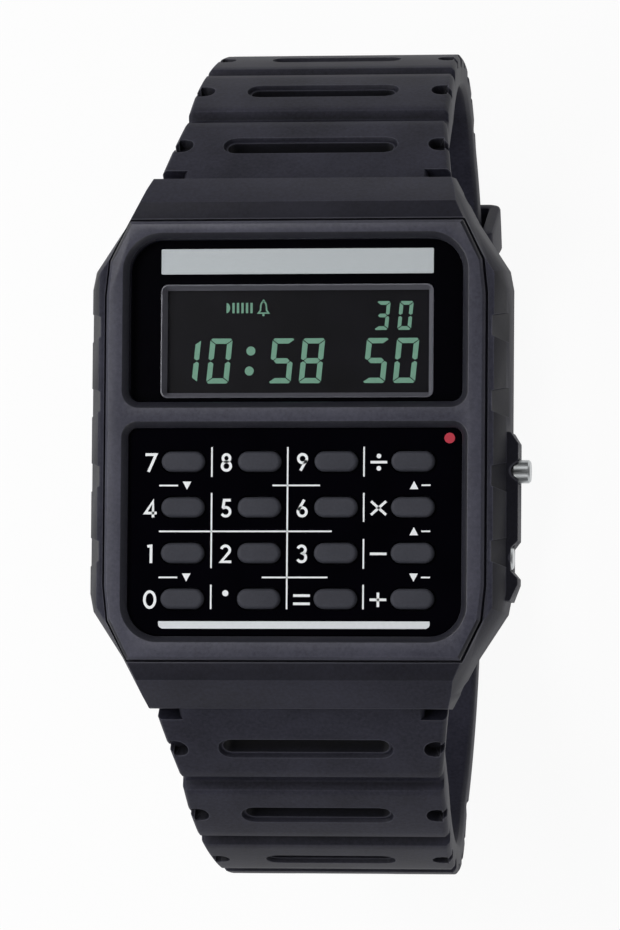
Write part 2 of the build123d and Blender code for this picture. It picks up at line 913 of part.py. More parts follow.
def case_back_screws():
    screws = Part()
    head_top = seat_gap + back_screw_head_height
    for x in (-back_screw_x, back_screw_x):
        for y in (-back_screw_y, back_screw_y):
            screw = rod_z(back_screw_head_radius, x, y, seat_gap, head_top)
            screw += rod_z(back_screw_radius, x, y, head_top, back_screw_tip_z)
            reach = back_screw_head_radius + cut
            slot = screw_slot_width / 2
            screw -= block(x - reach, x + reach, y - slot, y + slot, -cut, seat_gap + screw_slot_depth)
            screws += screw
    return screws


def case_gasket():
    return gasket_ring(0, gasket_height)


# Pushers

def pusher(y, tip_x):
    head_x = tip_x - pusher_head_length
    body = rod_x(pusher_head_radius, head_x, tip_x, y, pusher_z)
    body += rod_x(pusher_rod_radius, pusher_inner_x, head_x, y, pusher_z)
    if tip_x > guard_x:
        collar_x = head_x - pusher_collar_inset
        body += rod_x(pusher_head_radius, collar_x - pusher_collar_length, collar_x, y, pusher_z)
    rim = body.faces().sort_by(Axis.X)[-1].edges()
    return chamfer(rim, pusher_rim_chamfer)


def pusher_spring(y, end_x):
    place = Pos(pusher_well_floor_x, y, pusher_z) * Rot(0, 90, 0)
    radius = (pusher_rod_radius + pusher_head_radius) / 2
    length = end_x - pusher_well_floor_x
    return coil(radius, pusher_spring_wire, length, pusher_spring_turns, place)


def pusher_seal(y):
    x = pusher_well_floor_x - seal_groove_inset - seal_groove_length / 2
    ring_radius = pusher_rod_radius + seal_wire + screw_clearance
    return Pos(x, y, pusher_z) * Rot(0, 90, 0) * Torus(ring_radius, seal_wire)


def pusher_clip(y):
    x1 = pusher_clip_x + pusher_clip_thickness
    ring = rod_x(pusher_clip_radius, pusher_clip_x, x1, y, pusher_z)
    return ring - rod_x(pusher_rod_radius, pusher_clip_x - cut, x1 + cut, y, pusher_z)


# Straps: both are drawn on the 12 o'clock side, and the lower one is mirrored at the end

def share_between(value, low, high):
    return (value - low) / (high - low)


def outward(angle):
    return math.cos(math.radians(angle)), math.sin(math.radians(angle))


def moved(point, angle, distance):
    c, s = outward(angle)
    return point[0] + distance * c, point[1] + distance * s


def bend_centres():
    """The centres of the bends from the lug round to the back, each tangent to the one before."""
    root = moved((bar_y, bar_z), strap_root_angle, strap_start_thickness / 2)
    lug_centre = moved(root, strap_root_angle, -lug_bend_radius)
    apex_centre = moved(lug_centre, lug_bend_angle, lug_bend_radius - apex_bend_radius)
    turn_centre = moved(apex_centre, 0, apex_bend_radius - turn_bend_radius)
    back_centre = moved(turn_centre, turn_bend_angle, turn_bend_radius - back_bend_radius)
    return lug_centre, apex_centre, turn_centre, back_centre


def upper_back_radius():
    """One bend takes the upper half from the apex to the same depth as the lower half's two."""
    return bend_centres()[1][1] - back_z()


def upper_back_y():
    return bend_centres()[1][0] + apex_bend_radius - upper_back_radius()


def back_z():
    return bend_centres()[3][1] - back_bend_radius


def bends(upper):
    """Each bend as its centre, its radius and the angle where it starts, from the lug to the back."""
    lug_centre, apex_centre, turn_centre, back_centre = bend_centres()
    front = [(lug_centre, lug_bend_radius, 90), (apex_centre, apex_bend_radius, lug_bend_angle)]
    if upper:
        return front + [((upper_back_y(), apex_centre[1]), upper_back_radius(), 0)]
    return front + [(turn_centre, turn_bend_radius, 0), (back_centre, back_bend_radius, turn_bend_angle)]


def loop_point(angle, depth, upper):
    """The point at a depth below the outside of the strap, as Y and Z."""
    centre, radius, start = [bend for bend in bends(upper) if bend[2] >= angle][-1]
    return moved(centre, angle, radius - depth)


def angle_along(along, upper):
    """The angle at a distance along the outside, from the apex towards the lug."""
    if along > 0:
        bend = math.radians(lug_bend_angle) * apex_bend_radius
        if along > bend:
            return lug_bend_angle + math.degrees((along - bend) / lug_bend_radius)
        return math.degrees(along / apex_bend_radius)
    radius = upper_back_radius() if upper else turn_bend_radius
    angle = math.degrees(along / radius)
    if upper or angle > turn_bend_angle:
        return angle
    left = along - math.radians(turn_bend_angle) * turn_bend_radius
    return turn_bend_angle + math.degrees(left / back_bend_radius)


def strap_half_width(angle):
    if angle > strap_mid_angle:
        share = share_between(angle, strap_mid_angle, strap_start_angle)
        return strap_mid_half_width + share * (strap_start_half_width - strap_mid_half_width)
    if angle > 0:
        share = share_between(angle, 0, strap_mid_angle)
        return strap_apex_half_width + share * (strap_mid_half_width - strap_apex_half_width)
    share = min(1, share_between(angle, 0, strap_end_angle))
    return strap_apex_half_width + share * (strap_end_half_width - strap_apex_half_width)


def strap_thickness(angle):
    if angle > 0:
        share = min(1, share_between(angle, 0, strap_start_angle))
        return strap_apex_thickness + share * (strap_start_thickness - strap_apex_thickness)
    share = share_between(angle, 0, -90)
    return strap_apex_thickness + share * (strap_end_thickness - strap_apex_thickness)


def section(place, angle, half_width, thickness):
    """A flat cross-section of the strap, from its outer surface inwards."""
    y, z = place
    yi, zi = moved(place, angle, -thickness)
    corners = [(-half_width, y, z), (half_width, y, z), (half_width, yi, zi), (-half_width, yi, zi)]
    return make_face(Polyline(*corners, close=True))


def angles_between(first, last):
    steps = max(1, round(abs(last - first) / strap_step_angle))
    return [first + (last - first) * i / steps for i in range(steps + 1)]


def strap_front(upper):
    """Both halves alike: the ribbed part from the lug round to the back of the loop."""
    stops = [strap_start_angle, 0, turn_bend_angle, -90]
    sections = []
    for first, last in zip(stops, stops[1:]):
        for angle in angles_between(first, last)[len(sections) > 0:]:
            place = loop_point(angle, 0, upper)
            sections.append(section(place, angle, strap_half_width(angle), strap_thickness(angle)))
    body = loft(sections, ruled=True)
    roots = []
    for angle in (strap_root_angle, strap_start_angle):
        place = loop_point(angle, 0, upper)
        roots.append(section(place, angle, strap_root_half_width, strap_start_thickness))
    body += loft(roots, ruled=True)
    body += rod_x(bar_boss_radius, -strap_root_half_width, strap_root_half_width, bar_y, bar_z)
    body -= strap_cuts(upper) + lug_clearance()
    bore = bar_tube_radius + bar_bore_gap
    return body - rod_x(bore, -case_half_width, case_half_width, bar_y, bar_z)


def lug_clearance():
    """The full width starts just outside the lugs."""
    low_z = case_bottom_z - strap_start_thickness
    end_y = lug_half_span + lug_gap
    outer = strap_start_half_width + cut
    room = block(-outer, outer, lug_recess_wall_y, end_y, low_z, case_front_z)
    half = strap_root_half_width
    return room - block(-half, half, lug_recess_wall_y, end_y, low_z, case_front_z)


def radial_plane(angle, depth, upper, x=0.0):
    y, z = loop_point(angle, depth, upper)
    c, s = outward(angle)
    return Plane(origin=(x, y, z), x_dir=(1, 0, 0), z_dir=(0, c, s))


def strap_cuts(upper):
    cuts = Part()
    deep = strap_start_thickness + cut
    for k in range(slot_count):
        angle = angle_along(first_slot_along - k * strap_pitch, upper)
        length = first_slot_length - k * slot_length_step
        low = radial_plane(angle, deep, upper)
        cuts += low * extrude(SlotOverall(length, slot_width), amount=deep + cut)
        rim = radial_plane(angle, slot_rim_depth, upper)
        margin = slot_rim_width - slot_width
        cuts += rim * extrude(SlotOverall(length + margin, slot_rim_width), amount=slot_rim_depth + cut)
        edge = strap_half_width(angle) - edge_scoop_set_in
        shape = SlotOverall(2 * (edge_scoop_set_in + edge_scoop_radius + cut), 2 * edge_scoop_radius)
        for side in (-1, 1):
            x = side * (edge + edge_scoop_set_in + cut)
            scoop = radial_plane(angle, edge_scoop_depth, upper, x)
            cuts += scoop * extrude(shape, amount=edge_scoop_depth + cut)
        cuts += strap_groove(angle_along(first_slot_along - (k + 1 / 2) * strap_pitch, upper), upper)
    return cuts


def strap_groove(angle, upper):
    half = strap_start_half_width + cut
    slope = (groove_top_width - groove_floor_width) / 2 / groove_depth * cut
    points = [
        (-half, -groove_floor_width / 2, -groove_depth), (-half, groove_floor_width / 2, -groove_depth),
        (-half, groove_top_width / 2 + slope, cut), (-half, -groove_top_width / 2 - slope, cut),
    ]
    profile = make_face(Polyline(*points, close=True))
    return radial_plane(angle, 0, upper) * extrude(profile, amount=2 * half, dir=(1, 0, 0))


def tail_z():
    return back_z() - tail_gap - tail_thickness


def buckle_bar_z():
    return back_z() + strap_end_thickness / 2


def strap_upper():
    body = strap_front(upper=True)
    ends = []
    for y in (upper_back_y(), buckle_bar_y):
        ends.append(section((y, back_z()), -90, strap_end_half_width, strap_end_thickness))
    body += loft(ends, ruled=True)
    bar_z_here = buckle_bar_z()
    half = strap_end_half_width
    body += rod_x(buckle_boss_radius, -half, half, buckle_bar_y, bar_z_here)
    bore = buckle_pin_radius + buckle_pin_gap
    body -= rod_x(bore, -half - cut, half + cut, buckle_bar_y, bar_z_here)
    slot = tang_width / 2 + tang_slot_gap
    slot_end = buckle_bar_y + buckle_boss_radius + tang_slot_gap
    body -= block(
        -slot, slot, buckle_bar_y - buckle_boss_radius - cut, slot_end,
        bar_z_here - buckle_boss_radius - cut, bar_z_here + buckle_boss_radius + cut,
    )
    return body + fixed_keeper()


def fixed_keeper():
    """The moulded loop that holds the tail, made in one with the upper strap."""
    inner_half = strap_end_half_width + keeper_gap
    outer_half = inner_half + keeper_thickness
    outer_z = tail_z() - keeper_gap - fixed_keeper_thickness
    top_z = back_z() + strap_end_thickness
    ring = block(-outer_half, outer_half, fixed_keeper_low_y, fixed_keeper_high_y, outer_z, top_z)
    sides = ring.edges().filter_by(Axis.Y).sort_by(Axis.Z)[:2]
    ring = fillet(sides, keeper_thickness)
    return ring - block(
        -inner_half, inner_half, fixed_keeper_low_y - cut, fixed_keeper_high_y + cut,
        outer_z + fixed_keeper_thickness, back_z() + tail_gap,
    )


def smooth_step(share):
    return share * share * (3 - 2 * share)


def smooth_slope(share):
    return 6 * share * (1 - share)


def tail_radius():
    return upper_back_radius() + tail_gap + tail_thickness


def tail_point(angle, depth):
    """Round the outside of the upper half, seen from the lower half's own side."""
    return moved((-upper_back_y(), bend_centres()[1][1]), angle, tail_radius() - depth)


def tail_sections():
    """From the end of the ribbed part, up the ramp under the buckle bar and round the upper half."""
    half, flat = strap_end_half_width, tail_thickness
    sections = [section((bend_centres()[3][0], back_z()), -90, half, flat)]
    drop = back_z() - tail_z()
    run = tail_ramp_start_y - tail_ramp_end_y
    for i in range(tail_ramp_steps + 1):
        share = i / tail_ramp_steps
        place = (tail_ramp_start_y - run * share, back_z() - drop * smooth_step(share))
        lean = math.degrees(math.atan(drop / run * smooth_slope(share)))
        sections.append(section(place, -90 + lean, half, flat))
    last = -180 + tail_tip_angle
    tip = math.degrees(tail_tip_length / tail_radius())
    for angle in angles_between(-90, last + tip):
        sections.append(section(tail_point(angle, 0), angle, half, flat))
    for share, width in tail_tip_shares:
        angle = last + tip * (1 - share)
        narrow = tail_tip_half_width + (half - tail_tip_half_width) * width
        sections.append(section(tail_point(angle, 0), angle, narrow, flat))
    return sections


def tail_hole(place, angle, shape, deep):
    y, z = moved(place, angle, -deep)
    c, s = outward(angle)
    plane = Plane(origin=(0, y, z), x_dir=(1, 0, 0), z_dir=(0, c, s))
    return plane * extrude(shape, amount=2 * deep)


def tail_holes():
    deep = tail_thickness + cut
    shape = Rot(0, 0, 90) * SlotOverall(tail_hole_length, tail_hole_width)
    in_use = Pos(0, tail_hole_in_use_y, tail_z() - cut)
    cuts = in_use * extrude(shape, amount=back_z() - tail_z() + 2 * cut + tail_thickness)
    flat_left = tail_hole_in_use_y + upper_back_y()
    flat_right = bend_centres()[3][0] - tail_hole_in_use_y
    for k in range(1, tail_spare_holes + 1):
        reach = k * tail_hole_pitch
        if reach < flat_left:
            place = (tail_hole_in_use_y - reach, tail_z())
            cuts += tail_hole(place, -90, shape, deep)
        else:
            angle = -90 - math.degrees((reach - flat_left) / tail_radius())
            cuts += tail_hole(tail_point(angle, 0), angle, shape, deep)
        angle = -90 + math.degrees((reach - flat_right) / back_bend_radius)
        cuts += tail_hole(loop_point(angle, 0, upper=False), angle, shape, deep)
    return cuts


def strap_lower():
    body = strap_front(upper=False) + loft(tail_sections(), ruled=True)
    body -= tail_holes()
    return mirror(body, about=Plane.XZ)


# Keeper and buckle

def keeper_band(depth, thickness, start_angle, end_angle, half_width):
    """A piece of a thick ring round the back bend of the upper half."""
    rows = []
    for level in (depth, depth - thickness):
        rows.append([loop_point(-a, level, upper=True) for a in angles_between(start_angle, end_angle)])
    return side_prism(rows[0] + list(reversed(rows[1])), -half_width, half_width)


def loose_keeper():
    half = strap_end_half_width + keeper_gap
    low = strap_apex_thickness + keeper_gap
    room = low + tail_gap + tail_thickness + keeper_gap
    start, end = loose_keeper_start_angle, loose_keeper_end_angle
    ring = keeper_band(
        low + keeper_thickness, room + 2 * keeper_thickness, start, end, half + keeper_thickness
    )
    return ring - keeper_band(low, room, start - strap_step_angle, end + strap_step_angle, half)


def cross_inner_z():
    return back_z() - buckle_cross_gap


def buckle_frame():
    cross_z = cross_inner_z()
    outer_y = buckle_cross_y - buckle_cross_width / 2
    inner_y = buckle_cross_y + buckle_cross_width / 2
    eye_z = buckle_bar_z()
    low_z = cross_z - buckle_cross_height
    side = [
        (buckle_bar_y, eye_z + buckle_eye_radius), (outer_y, cross_z), (outer_y, low_z), (inner_y, low_z),
        (buckle_bar_y, eye_z - buckle_eye_radius),
    ]
    frame = side_prism(side, -buckle_half_width, buckle_half_width)
    frame += rod_x(buckle_eye_radius, -buckle_half_width, buckle_half_width, buckle_bar_y, eye_z)
    inner_half = buckle_half_width - buckle_side_width
    frame -= block(
        -inner_half, inner_half, inner_y, buckle_bar_y + buckle_eye_radius + cut, low_z - cut,
        eye_z + buckle_eye_radius + cut,
    )
    frame -= block(-inner_half, inner_half, outer_y - cut, inner_y + cut, cross_z, eye_z + buckle_eye_radius)
    notch = tang_width / 2 + tang_slot_gap
    frame -= block(-notch, notch, outer_y - cut, inner_y + cut, low_z - cut, tang_seat_z())
    return frame - rod_x(
        buckle_pin_radius, -buckle_half_width - cut, buckle_half_width + cut, buckle_bar_y, eye_z
    )


def tang_seat_z():
    return cross_inner_z() - buckle_cross_height + tang_notch_depth


def buckle_tang():
    """The tongue, from its eye on the pin to its seat in the crossbar."""
    eye_z = buckle_bar_z()
    tip_y = buckle_cross_y - buckle_cross_width / 2 + tang_tip_margin
    bend_y = buckle_cross_y + buckle_cross_width / 2 + tang_slot_gap
    top_z = tang_seat_z() - seat_gap
    low_z = top_z - tang_thickness
    half = tang_width / 2
    points = [
        (buckle_bar_y, eye_z + tang_thickness / 2), (bend_y, top_z), (tip_y, top_z), (tip_y, low_z),
        (bend_y, low_z), (buckle_bar_y, eye_z - tang_thickness / 2),
    ]
    tang = side_prism(points, -half, half)
    tang += rod_x(buckle_pin_radius + tang_thickness / 2, -half, half, buckle_bar_y, eye_z)
    bore = buckle_pin_radius + buckle_pin_gap
    return tang - rod_x(bore, -half - cut, half + cut, buckle_bar_y, eye_z)


def buckle_pin():
    return rod_x(buckle_pin_radius, -buckle_half_width, buckle_half_width, buckle_bar_y, buckle_bar_z())


# Spring bars, drawn for the upper lugs

def bar_tube():
    tube = rod_x(bar_tube_radius, -bar_tube_half_length, bar_tube_half_length, bar_y, bar_z)
    lip_x = bar_tube_half_length - bar_lip_length
    tube -= rod_x(bar_tube_radius - bar_tube_wall, -lip_x, lip_x, bar_y, bar_z)
    end = bar_tube_half_length + cut
    return tube - rod_x(bar_pin_radius + bar_running_gap, -end, end, bar_y, bar_z)


def bar_pin(side):
    foot_end = bar_pin_foot_x + bar_pin_foot_length
    foot_radius = bar_tube_radius - bar_tube_wall - bar_running_gap
    pin = rod_x(foot_radius, bar_pin_foot_x, foot_end, bar_y, bar_z)
    pin += rod_x(bar_pin_radius, foot_end, bar_pin_tip_x, bar_y, bar_z)
    tip = pin.faces().sort_by(Axis.X)[-1].edges()
    pin = chamfer(tip, bar_pin_tip_chamfer)
    return pin if side > 0 else mirror(pin, about=Plane.YZ)


def bar_spring():
    place = Pos(-bar_pin_foot_x, bar_y, bar_z) * Rot(0, 90, 0)
    radius = bar_pin_radius - bar_running_gap
    return coil(radius, bar_spring_wire, 2 * bar_pin_foot_x, bar_spring_turns, place)


def lower(shape):
    return mirror(shape, about=Plane.XZ)


def save(name, shape):
    export_step(shape, f"parts/{name}.step")


def main():
    os.makedirs("parts", exist_ok=True)
    save("case_body", case_body())
    save("bezel", bezel())
    save("display_window", display_window())
    save("display_mask", display_mask())
    save("name_band", name_band())
    save("lcd_panel", lcd_panel())
    save("lcd_connectors", lcd_connectors())
    save("keypad_panel", keypad_panel())
    save("keypad_mat", keypad_mat())
    for name, x, y in key_places():
        save(name, key(x, y))
    save("module_frame", module_frame())
    save("main_board", main_board())
    save("board_screws", board_screws())
    save("chip", chip())
    save("crystal_can", crystal_can())
    save("battery", battery())
    save("battery_clip", battery_clip())
    save("piezo_disc", piezo_disc())
    save("piezo_spring", piezo_spring())
    save("case_gasket", case_gasket())
    save("case_back", case_back())
    save("case_back_screws", case_back_screws())
    mode_collar_end = mode_pusher_tip_x - pusher_head_length - pusher_collar_inset - pusher_collar_length
    save("mode_pusher", pusher(mode_pusher_y, mode_pusher_tip_x))
    save("mode_pusher_spring", pusher_spring(mode_pusher_y, mode_collar_end))
    save("mode_pusher_seal", pusher_seal(mode_pusher_y))
    save("mode_pusher_clip", pusher_clip(mode_pusher_y))
    save("adjust_pusher", pusher(adjust_pusher_y, adjust_pusher_tip_x))
    save("adjust_pusher_spring", pusher_spring(adjust_pusher_y, adjust_pusher_tip_x - pusher_head_length))
    save("adjust_pusher_seal", pusher_seal(adjust_pusher_y))
    save("adjust_pusher_clip", pusher_clip(adjust_pusher_y))
    save("upper_bar_tube", bar_tube())
    save("upper_bar_spring", bar_spring())
    save("upper_bar_pin_left", bar_pin(-1))
    save("upper_bar_pin_right", bar_pin(1))
    save("lower_bar_tube", lower(bar_tube()))
    save("lower_bar_spring", lower(bar_spring()))
    save("lower_bar_pin_left", lower(bar_pin(-1)))
    save("lower_bar_pin_right", lower(bar_pin(1)))
    save("strap_upper", strap_upper())
    save("strap_lower", strap_lower())
    save("loose_keeper", loose_keeper())
    save("buckle_frame", buckle_frame())
    save("buckle_tang", buckle_tang())
    save("buckle_pin", buckle_pin())


main()
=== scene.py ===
import math

import bmesh
import bpy
from mathutils import Matrix, Vector


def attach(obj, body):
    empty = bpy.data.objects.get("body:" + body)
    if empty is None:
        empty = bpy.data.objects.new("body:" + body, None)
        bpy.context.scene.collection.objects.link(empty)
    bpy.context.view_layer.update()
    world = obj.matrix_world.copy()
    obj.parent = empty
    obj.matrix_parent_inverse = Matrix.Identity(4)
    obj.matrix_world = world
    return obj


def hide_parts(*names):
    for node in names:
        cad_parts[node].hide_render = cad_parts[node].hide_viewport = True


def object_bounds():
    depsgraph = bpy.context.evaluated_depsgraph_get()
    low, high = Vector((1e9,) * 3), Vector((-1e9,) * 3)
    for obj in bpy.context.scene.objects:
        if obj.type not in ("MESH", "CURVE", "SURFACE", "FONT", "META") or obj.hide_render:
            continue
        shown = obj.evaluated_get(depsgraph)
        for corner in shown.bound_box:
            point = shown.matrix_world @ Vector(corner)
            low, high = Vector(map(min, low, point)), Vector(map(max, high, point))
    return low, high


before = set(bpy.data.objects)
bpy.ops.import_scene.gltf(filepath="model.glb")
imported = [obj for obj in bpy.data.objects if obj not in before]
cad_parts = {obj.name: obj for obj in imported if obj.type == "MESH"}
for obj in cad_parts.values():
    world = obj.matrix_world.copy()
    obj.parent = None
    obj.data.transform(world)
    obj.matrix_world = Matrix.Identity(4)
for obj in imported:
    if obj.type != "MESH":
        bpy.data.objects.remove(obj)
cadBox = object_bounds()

mm = 0.001
print("stage: frame loaded")

# Small helpers

def linearColour(hexText, alpha=1.0):  # sRGB hex to the linear values that shader sockets hold
    values = [int(hexText[i:i + 2], 16) / 255 for i in (1, 3, 5)]
    linear = [v / 12.92 if v <= 0.04045 else ((v + 0.055) / 1.055) ** 2.4 for v in values]
    return (*linear, alpha)


def addNode(tree, kind, inputs=None, **settings):
    node = tree.nodes.new(kind)
    for name, value in settings.items():
        setattr(node, name, value)
    for socket, value in (inputs or {}).items():
        if isinstance(value, bpy.types.NodeSocket):
            tree.links.new(value, node.inputs[socket])
        else:
            node.inputs[socket].default_value = value
    return node


def newMaterial(name):
    material = bpy.data.materials.new(name)
    material.use_nodes = True
    tree = material.node_tree
    tree.nodes.clear()
    shader = addNode(tree, "ShaderNodeBsdfPrincipled")
    output = addNode(tree, "ShaderNodeOutputMaterial", {"Surface": shader.outputs["BSDF"]})
    return material, tree, shader, output


def paint(obj, material):
    obj.data.materials.clear()
    obj.data.materials.append(material)


def newObject(name, data, material=None):
    obj = bpy.data.objects.new(name, data)
    bpy.context.scene.collection.objects.link(obj)
    if material:
        paint(obj, material)
    return obj


def lerp(a, b, share):
    return a + (b - a) * share


def chord(radius, off):  # half a circle's chord, at a distance from its centre
    return math.sqrt(max(radius ** 2 - off ** 2, 0.0))


def arc(cx, cy, rx, ry, first, last, steps=14):
    turns = [math.radians(lerp(first, last, i / steps)) for i in range(steps + 1)]
    return [(cx + rx * math.cos(a), cy + ry * math.sin(a)) for a in turns]


def roundedBox(half, low, high, radius):  # outline of a rectangle, each corner in six steps
    corners = ((half - radius, high - radius, 0), (radius - half, high - radius, 90),
               (radius - half, low + radius, 180), (half - radius, low + radius, 270))
    return [point for x, y, turn in corners for point in arc(x, y, radius, radius, turn, turn + 90, 6)]


def newVert(work, x, y, z):
    return work.verts.new((x * mm, y * mm, z * mm))


def bridge(work, first, second):  # faces between two closed rings of vertices
    for k in range(len(first)):
        n = (k + 1) % len(first)
        work.faces.new([first[k], first[n], second[n], second[k]])


def tableValue(table, x):  # straight lines between (x, value) pairs, level outside them
    if x <= table[0][0]:
        return table[0][1]
    for (x0, v0), (x1, v1) in zip(table, table[1:]):
        if x <= x1:
            return lerp(v0, v1, (x - x0) / (x1 - x0))
    return table[-1][1]


# Materials

roughSpread = (-0.06, 0.08)
# Painted shade in creases and recesses and a painted highlight on convex edges, shared by every moulded
# material
paintedShadeAndHighlight = {"paintedCreaseShadeShare": 0.1, "edgeMm": 0.12, "paintedEdgeHighlightShare": 0.3, "paintedEdgeHighlightTone": "#7c7c88"}
moulded = {"roughness": 0.4, "gloss": 0.5, "grainMm": 0.3, "cloudMm": 6.0, "bump": 0.3, "paintedShadeMm": 0.4}


def mouldedResin(name, changes):
    values = {**moulded, **changes}
    material, tree, shader, output = newMaterial(name)
    place = addNode(tree, "ShaderNodeTexCoord").outputs["Object"]
    grain = addNode(tree, "ShaderNodeTexNoise", {
        "Vector": place, "Scale": 1 / (values["grainMm"] * mm), "Detail": 3.0, "Roughness": 0.65})
    cloud = addNode(tree, "ShaderNodeTexNoise", {
        "Vector": place, "Scale": 1 / (values["cloudMm"] * mm), "Detail": 2.0})
    both = addNode(tree, "ShaderNodeMix", {
        0: 0.45, 2: grain.outputs["Fac"], 3: cloud.outputs["Fac"]}, data_type="FLOAT")
    tone = addNode(tree, "ShaderNodeValToRGB", {"Fac": both.outputs[0]})
    tone.color_ramp.elements[0].position = 0.3
    tone.color_ramp.elements[0].color = linearColour(values["dark"])
    tone.color_ramp.elements[1].position = 0.7
    tone.color_ramp.elements[1].color = linearColour(values["light"])
    # Painted shade darkens creases and recesses, and a painted highlight lightens convex edges, as far as the
    # piece's own surface lies near
    crease = addNode(tree, "ShaderNodeAmbientOcclusion", {
        "Distance": values["paintedShadeMm"] * mm}, samples=4, only_local=True)
    ridge = addNode(tree, "ShaderNodeAmbientOcclusion", {
        "Distance": paintedShadeAndHighlight["edgeMm"] * mm}, samples=4, only_local=True, inside=True)
    creaseShadeFactor = addNode(tree, "ShaderNodeMapRange", {
        "Value": crease.outputs["AO"], "From Min": 0.4, "From Max": 0.85,
        "To Min": paintedShadeAndHighlight["paintedCreaseShadeShare"], "To Max": 1.0})
    highlightAmount = addNode(tree, "ShaderNodeMapRange", {
        "Value": ridge.outputs["AO"], "From Min": 0.5, "From Max": 0.95,
        "To Min": paintedShadeAndHighlight["paintedEdgeHighlightShare"], "To Max": 0.0})
    shaded = addNode(tree, "ShaderNodeMix", {
        0: 1.0, 6: tone.outputs["Color"], 7: creaseShadeFactor.outputs["Result"]}, data_type="RGBA", blend_type="MULTIPLY")
    paintedHighlightMix = addNode(tree, "ShaderNodeMix", {
        0: highlightAmount.outputs["Result"], 6: shaded.outputs[2], 7: linearColour(paintedShadeAndHighlight["paintedEdgeHighlightTone"])},
        data_type="RGBA")
    tree.links.new(paintedHighlightMix.outputs[2], shader.inputs["Base Color"])
    low, high = (values["roughness"] + spread for spread in roughSpread)
    rough = addNode(tree, "ShaderNodeMapRange", {
        "Value": grain.outputs["Fac"], "To Min": low, "To Max": high})
    tree.links.new(rough.outputs["Result"], shader.inputs["Roughness"])
    bump = addNode(tree, "ShaderNodeBump", {
        "Strength": values["bump"], "Distance": 0.02 * mm, "Height": grain.outputs["Fac"]})
    tree.links.new(bump.outputs["Normal"], shader.inputs["Normal"])
    shader.inputs["IOR"].default_value = 1.5
    shader.inputs["Specular IOR Level"].default_value = values["gloss"]
    return material


# Black polyurethane resin from a spark-eroded mould: a fine even grain and a dull satin sheen
caseResin = mouldedResin("mouldedCaseResin", {
    "dark": "#171722", "light": "#32323f", "roughness": 0.55, "gloss": 0.22, "bump": 0.8, "paintedShadeMm": 0.8})
bezelResin = mouldedResin("mouldedBezelResin", {
    "dark": "#262632", "light": "#42424f", "roughness": 0.44, "gloss": 0.45, "grainMm": 0.26, "cloudMm": 9.0,
    "bump": 0.7, "paintedShadeMm": 0.6})
# The same resin painted darker, as painted shade on the case's facets and side slopes and on the window
# bevels, with a faint sheen
shadedFacetResin = mouldedResin("paintedShadeCaseFacet", {
    "dark": "#0c0c16", "light": "#1e1e29", "roughness": 0.5, "gloss": 0.2, "bump": 0.4})
shadedBevelResin = mouldedResin("paintedShadeWindowBevel", {"dark": "#16161e", "light": "#25252e", "roughness": 0.35})
# Flexible strap resin: the same grain, more matt, with painted shade reaching wide into its slots and grooves
strapResin = mouldedResin("mouldedStrapResin", {
    "dark": "#151520", "light": "#333340", "roughness": 0.58, "gloss": 0.2, "cloudMm": 5.0, "bump": 1.0,
    "paintedShadeMm": 3.0})
# Silicone keys, matt from a blasted mould
keyRubber = mouldedResin("mouldedSiliconeKeys", {
    "dark": "#2b2c34", "light": "#373840", "roughness": 0.62, "gloss": 0.3, "grainMm": 0.2, "cloudMm": 3.0,
    "bump": 0.7})
# Glass fibre and epoxy under green varnish: even and slightly glossy
boardGreen = mouldedResin("glassEpoxyBoard", {
    "dark": "#1c4a2c", "light": "#245a36", "grainMm": 0.5, "cloudMm": 8.0, "bump": 0.2})
# Seal rubber: near black and matt
softRubber = mouldedResin("mouldedSealRubber", {
    "dark": "#17171a", "light": "#1e1e22", "roughness": 0.6, "gloss": 0.3, "cloudMm": 4.0})
# The display's moulded surround, a shade lighter than the mask
rimPlastic = mouldedResin("mouldedDisplaySurround", {
    "dark": "#5c5c64", "light": "#68686f", "cloudMm": 5.0, "bump": 0.15})


def patterned(name, values):  # two tones under one noise, rough and bumped as named
    material, tree, shader, output = newMaterial(name)
    place = addNode(tree, "ShaderNodeTexCoord").outputs["Object"]
    if "stretch" in values:
        drawn = addNode(tree, "ShaderNodeMapping", {"Vector": place, "Scale": values["stretch"]})
        place = drawn.outputs["Vector"]
    noise = addNode(tree, "ShaderNodeTexNoise", {
        "Vector": place, "Scale": 1 / (values["patternMm"] * mm), "Detail": values["detail"]}).outputs["Fac"]
    first, second = values["tones"]
    tone = addNode(tree, "ShaderNodeMix", {
        0: noise, 6: linearColour(first), 7: linearColour(second)}, data_type="RGBA")
    tree.links.new(tone.outputs[2], shader.inputs["Base Color"])
    if "roughRange" in values:
        low, high = values["roughRange"]
        rough = addNode(tree, "ShaderNodeMapRange", {"Value": noise, "To Min": low, "To Max": high})
        tree.links.new(rough.outputs["Result"], shader.inputs["Roughness"])
    if "bump" in values:
        bump = addNode(tree, "ShaderNodeBump", {
            "Strength": values["bump"], "Distance": 0.01 * mm, "Height": noise})
        tree.links.new(bump.outputs["Normal"], shader.inputs["Normal"])
    for socket, value in values["shader"].items():
        shader.inputs[socket].default_value = value
    return material


def glossPanel(name, colour, roughness):
    return patterned(name, {
        "tones": (colour, "#020204"), "patternMm": 4.0, "detail": 1.0, "bump": 0.05,
        "shader": {"Roughness": roughness, "IOR": 1.49}})


# Back-printed acrylic: deep black under a polished face with very slight ripple
panelBlack = glossPanel("polishedBlackAcrylic", "#050409", 0.08)
maskBlack = glossPanel("printedBlackMask", "#050409", 0.14)


def brushedMetal(name, values):
    return patterned(name, {
        "tones": (values["dark"], values["light"]), "patternMm": values["lineMm"], "detail": 3.0, "bump": 0.2,
        "stretch": values["stretch"], "roughRange": [values["roughness"] + spread for spread in roughSpread],
        "shader": {"Metallic": values["metallic"]}})


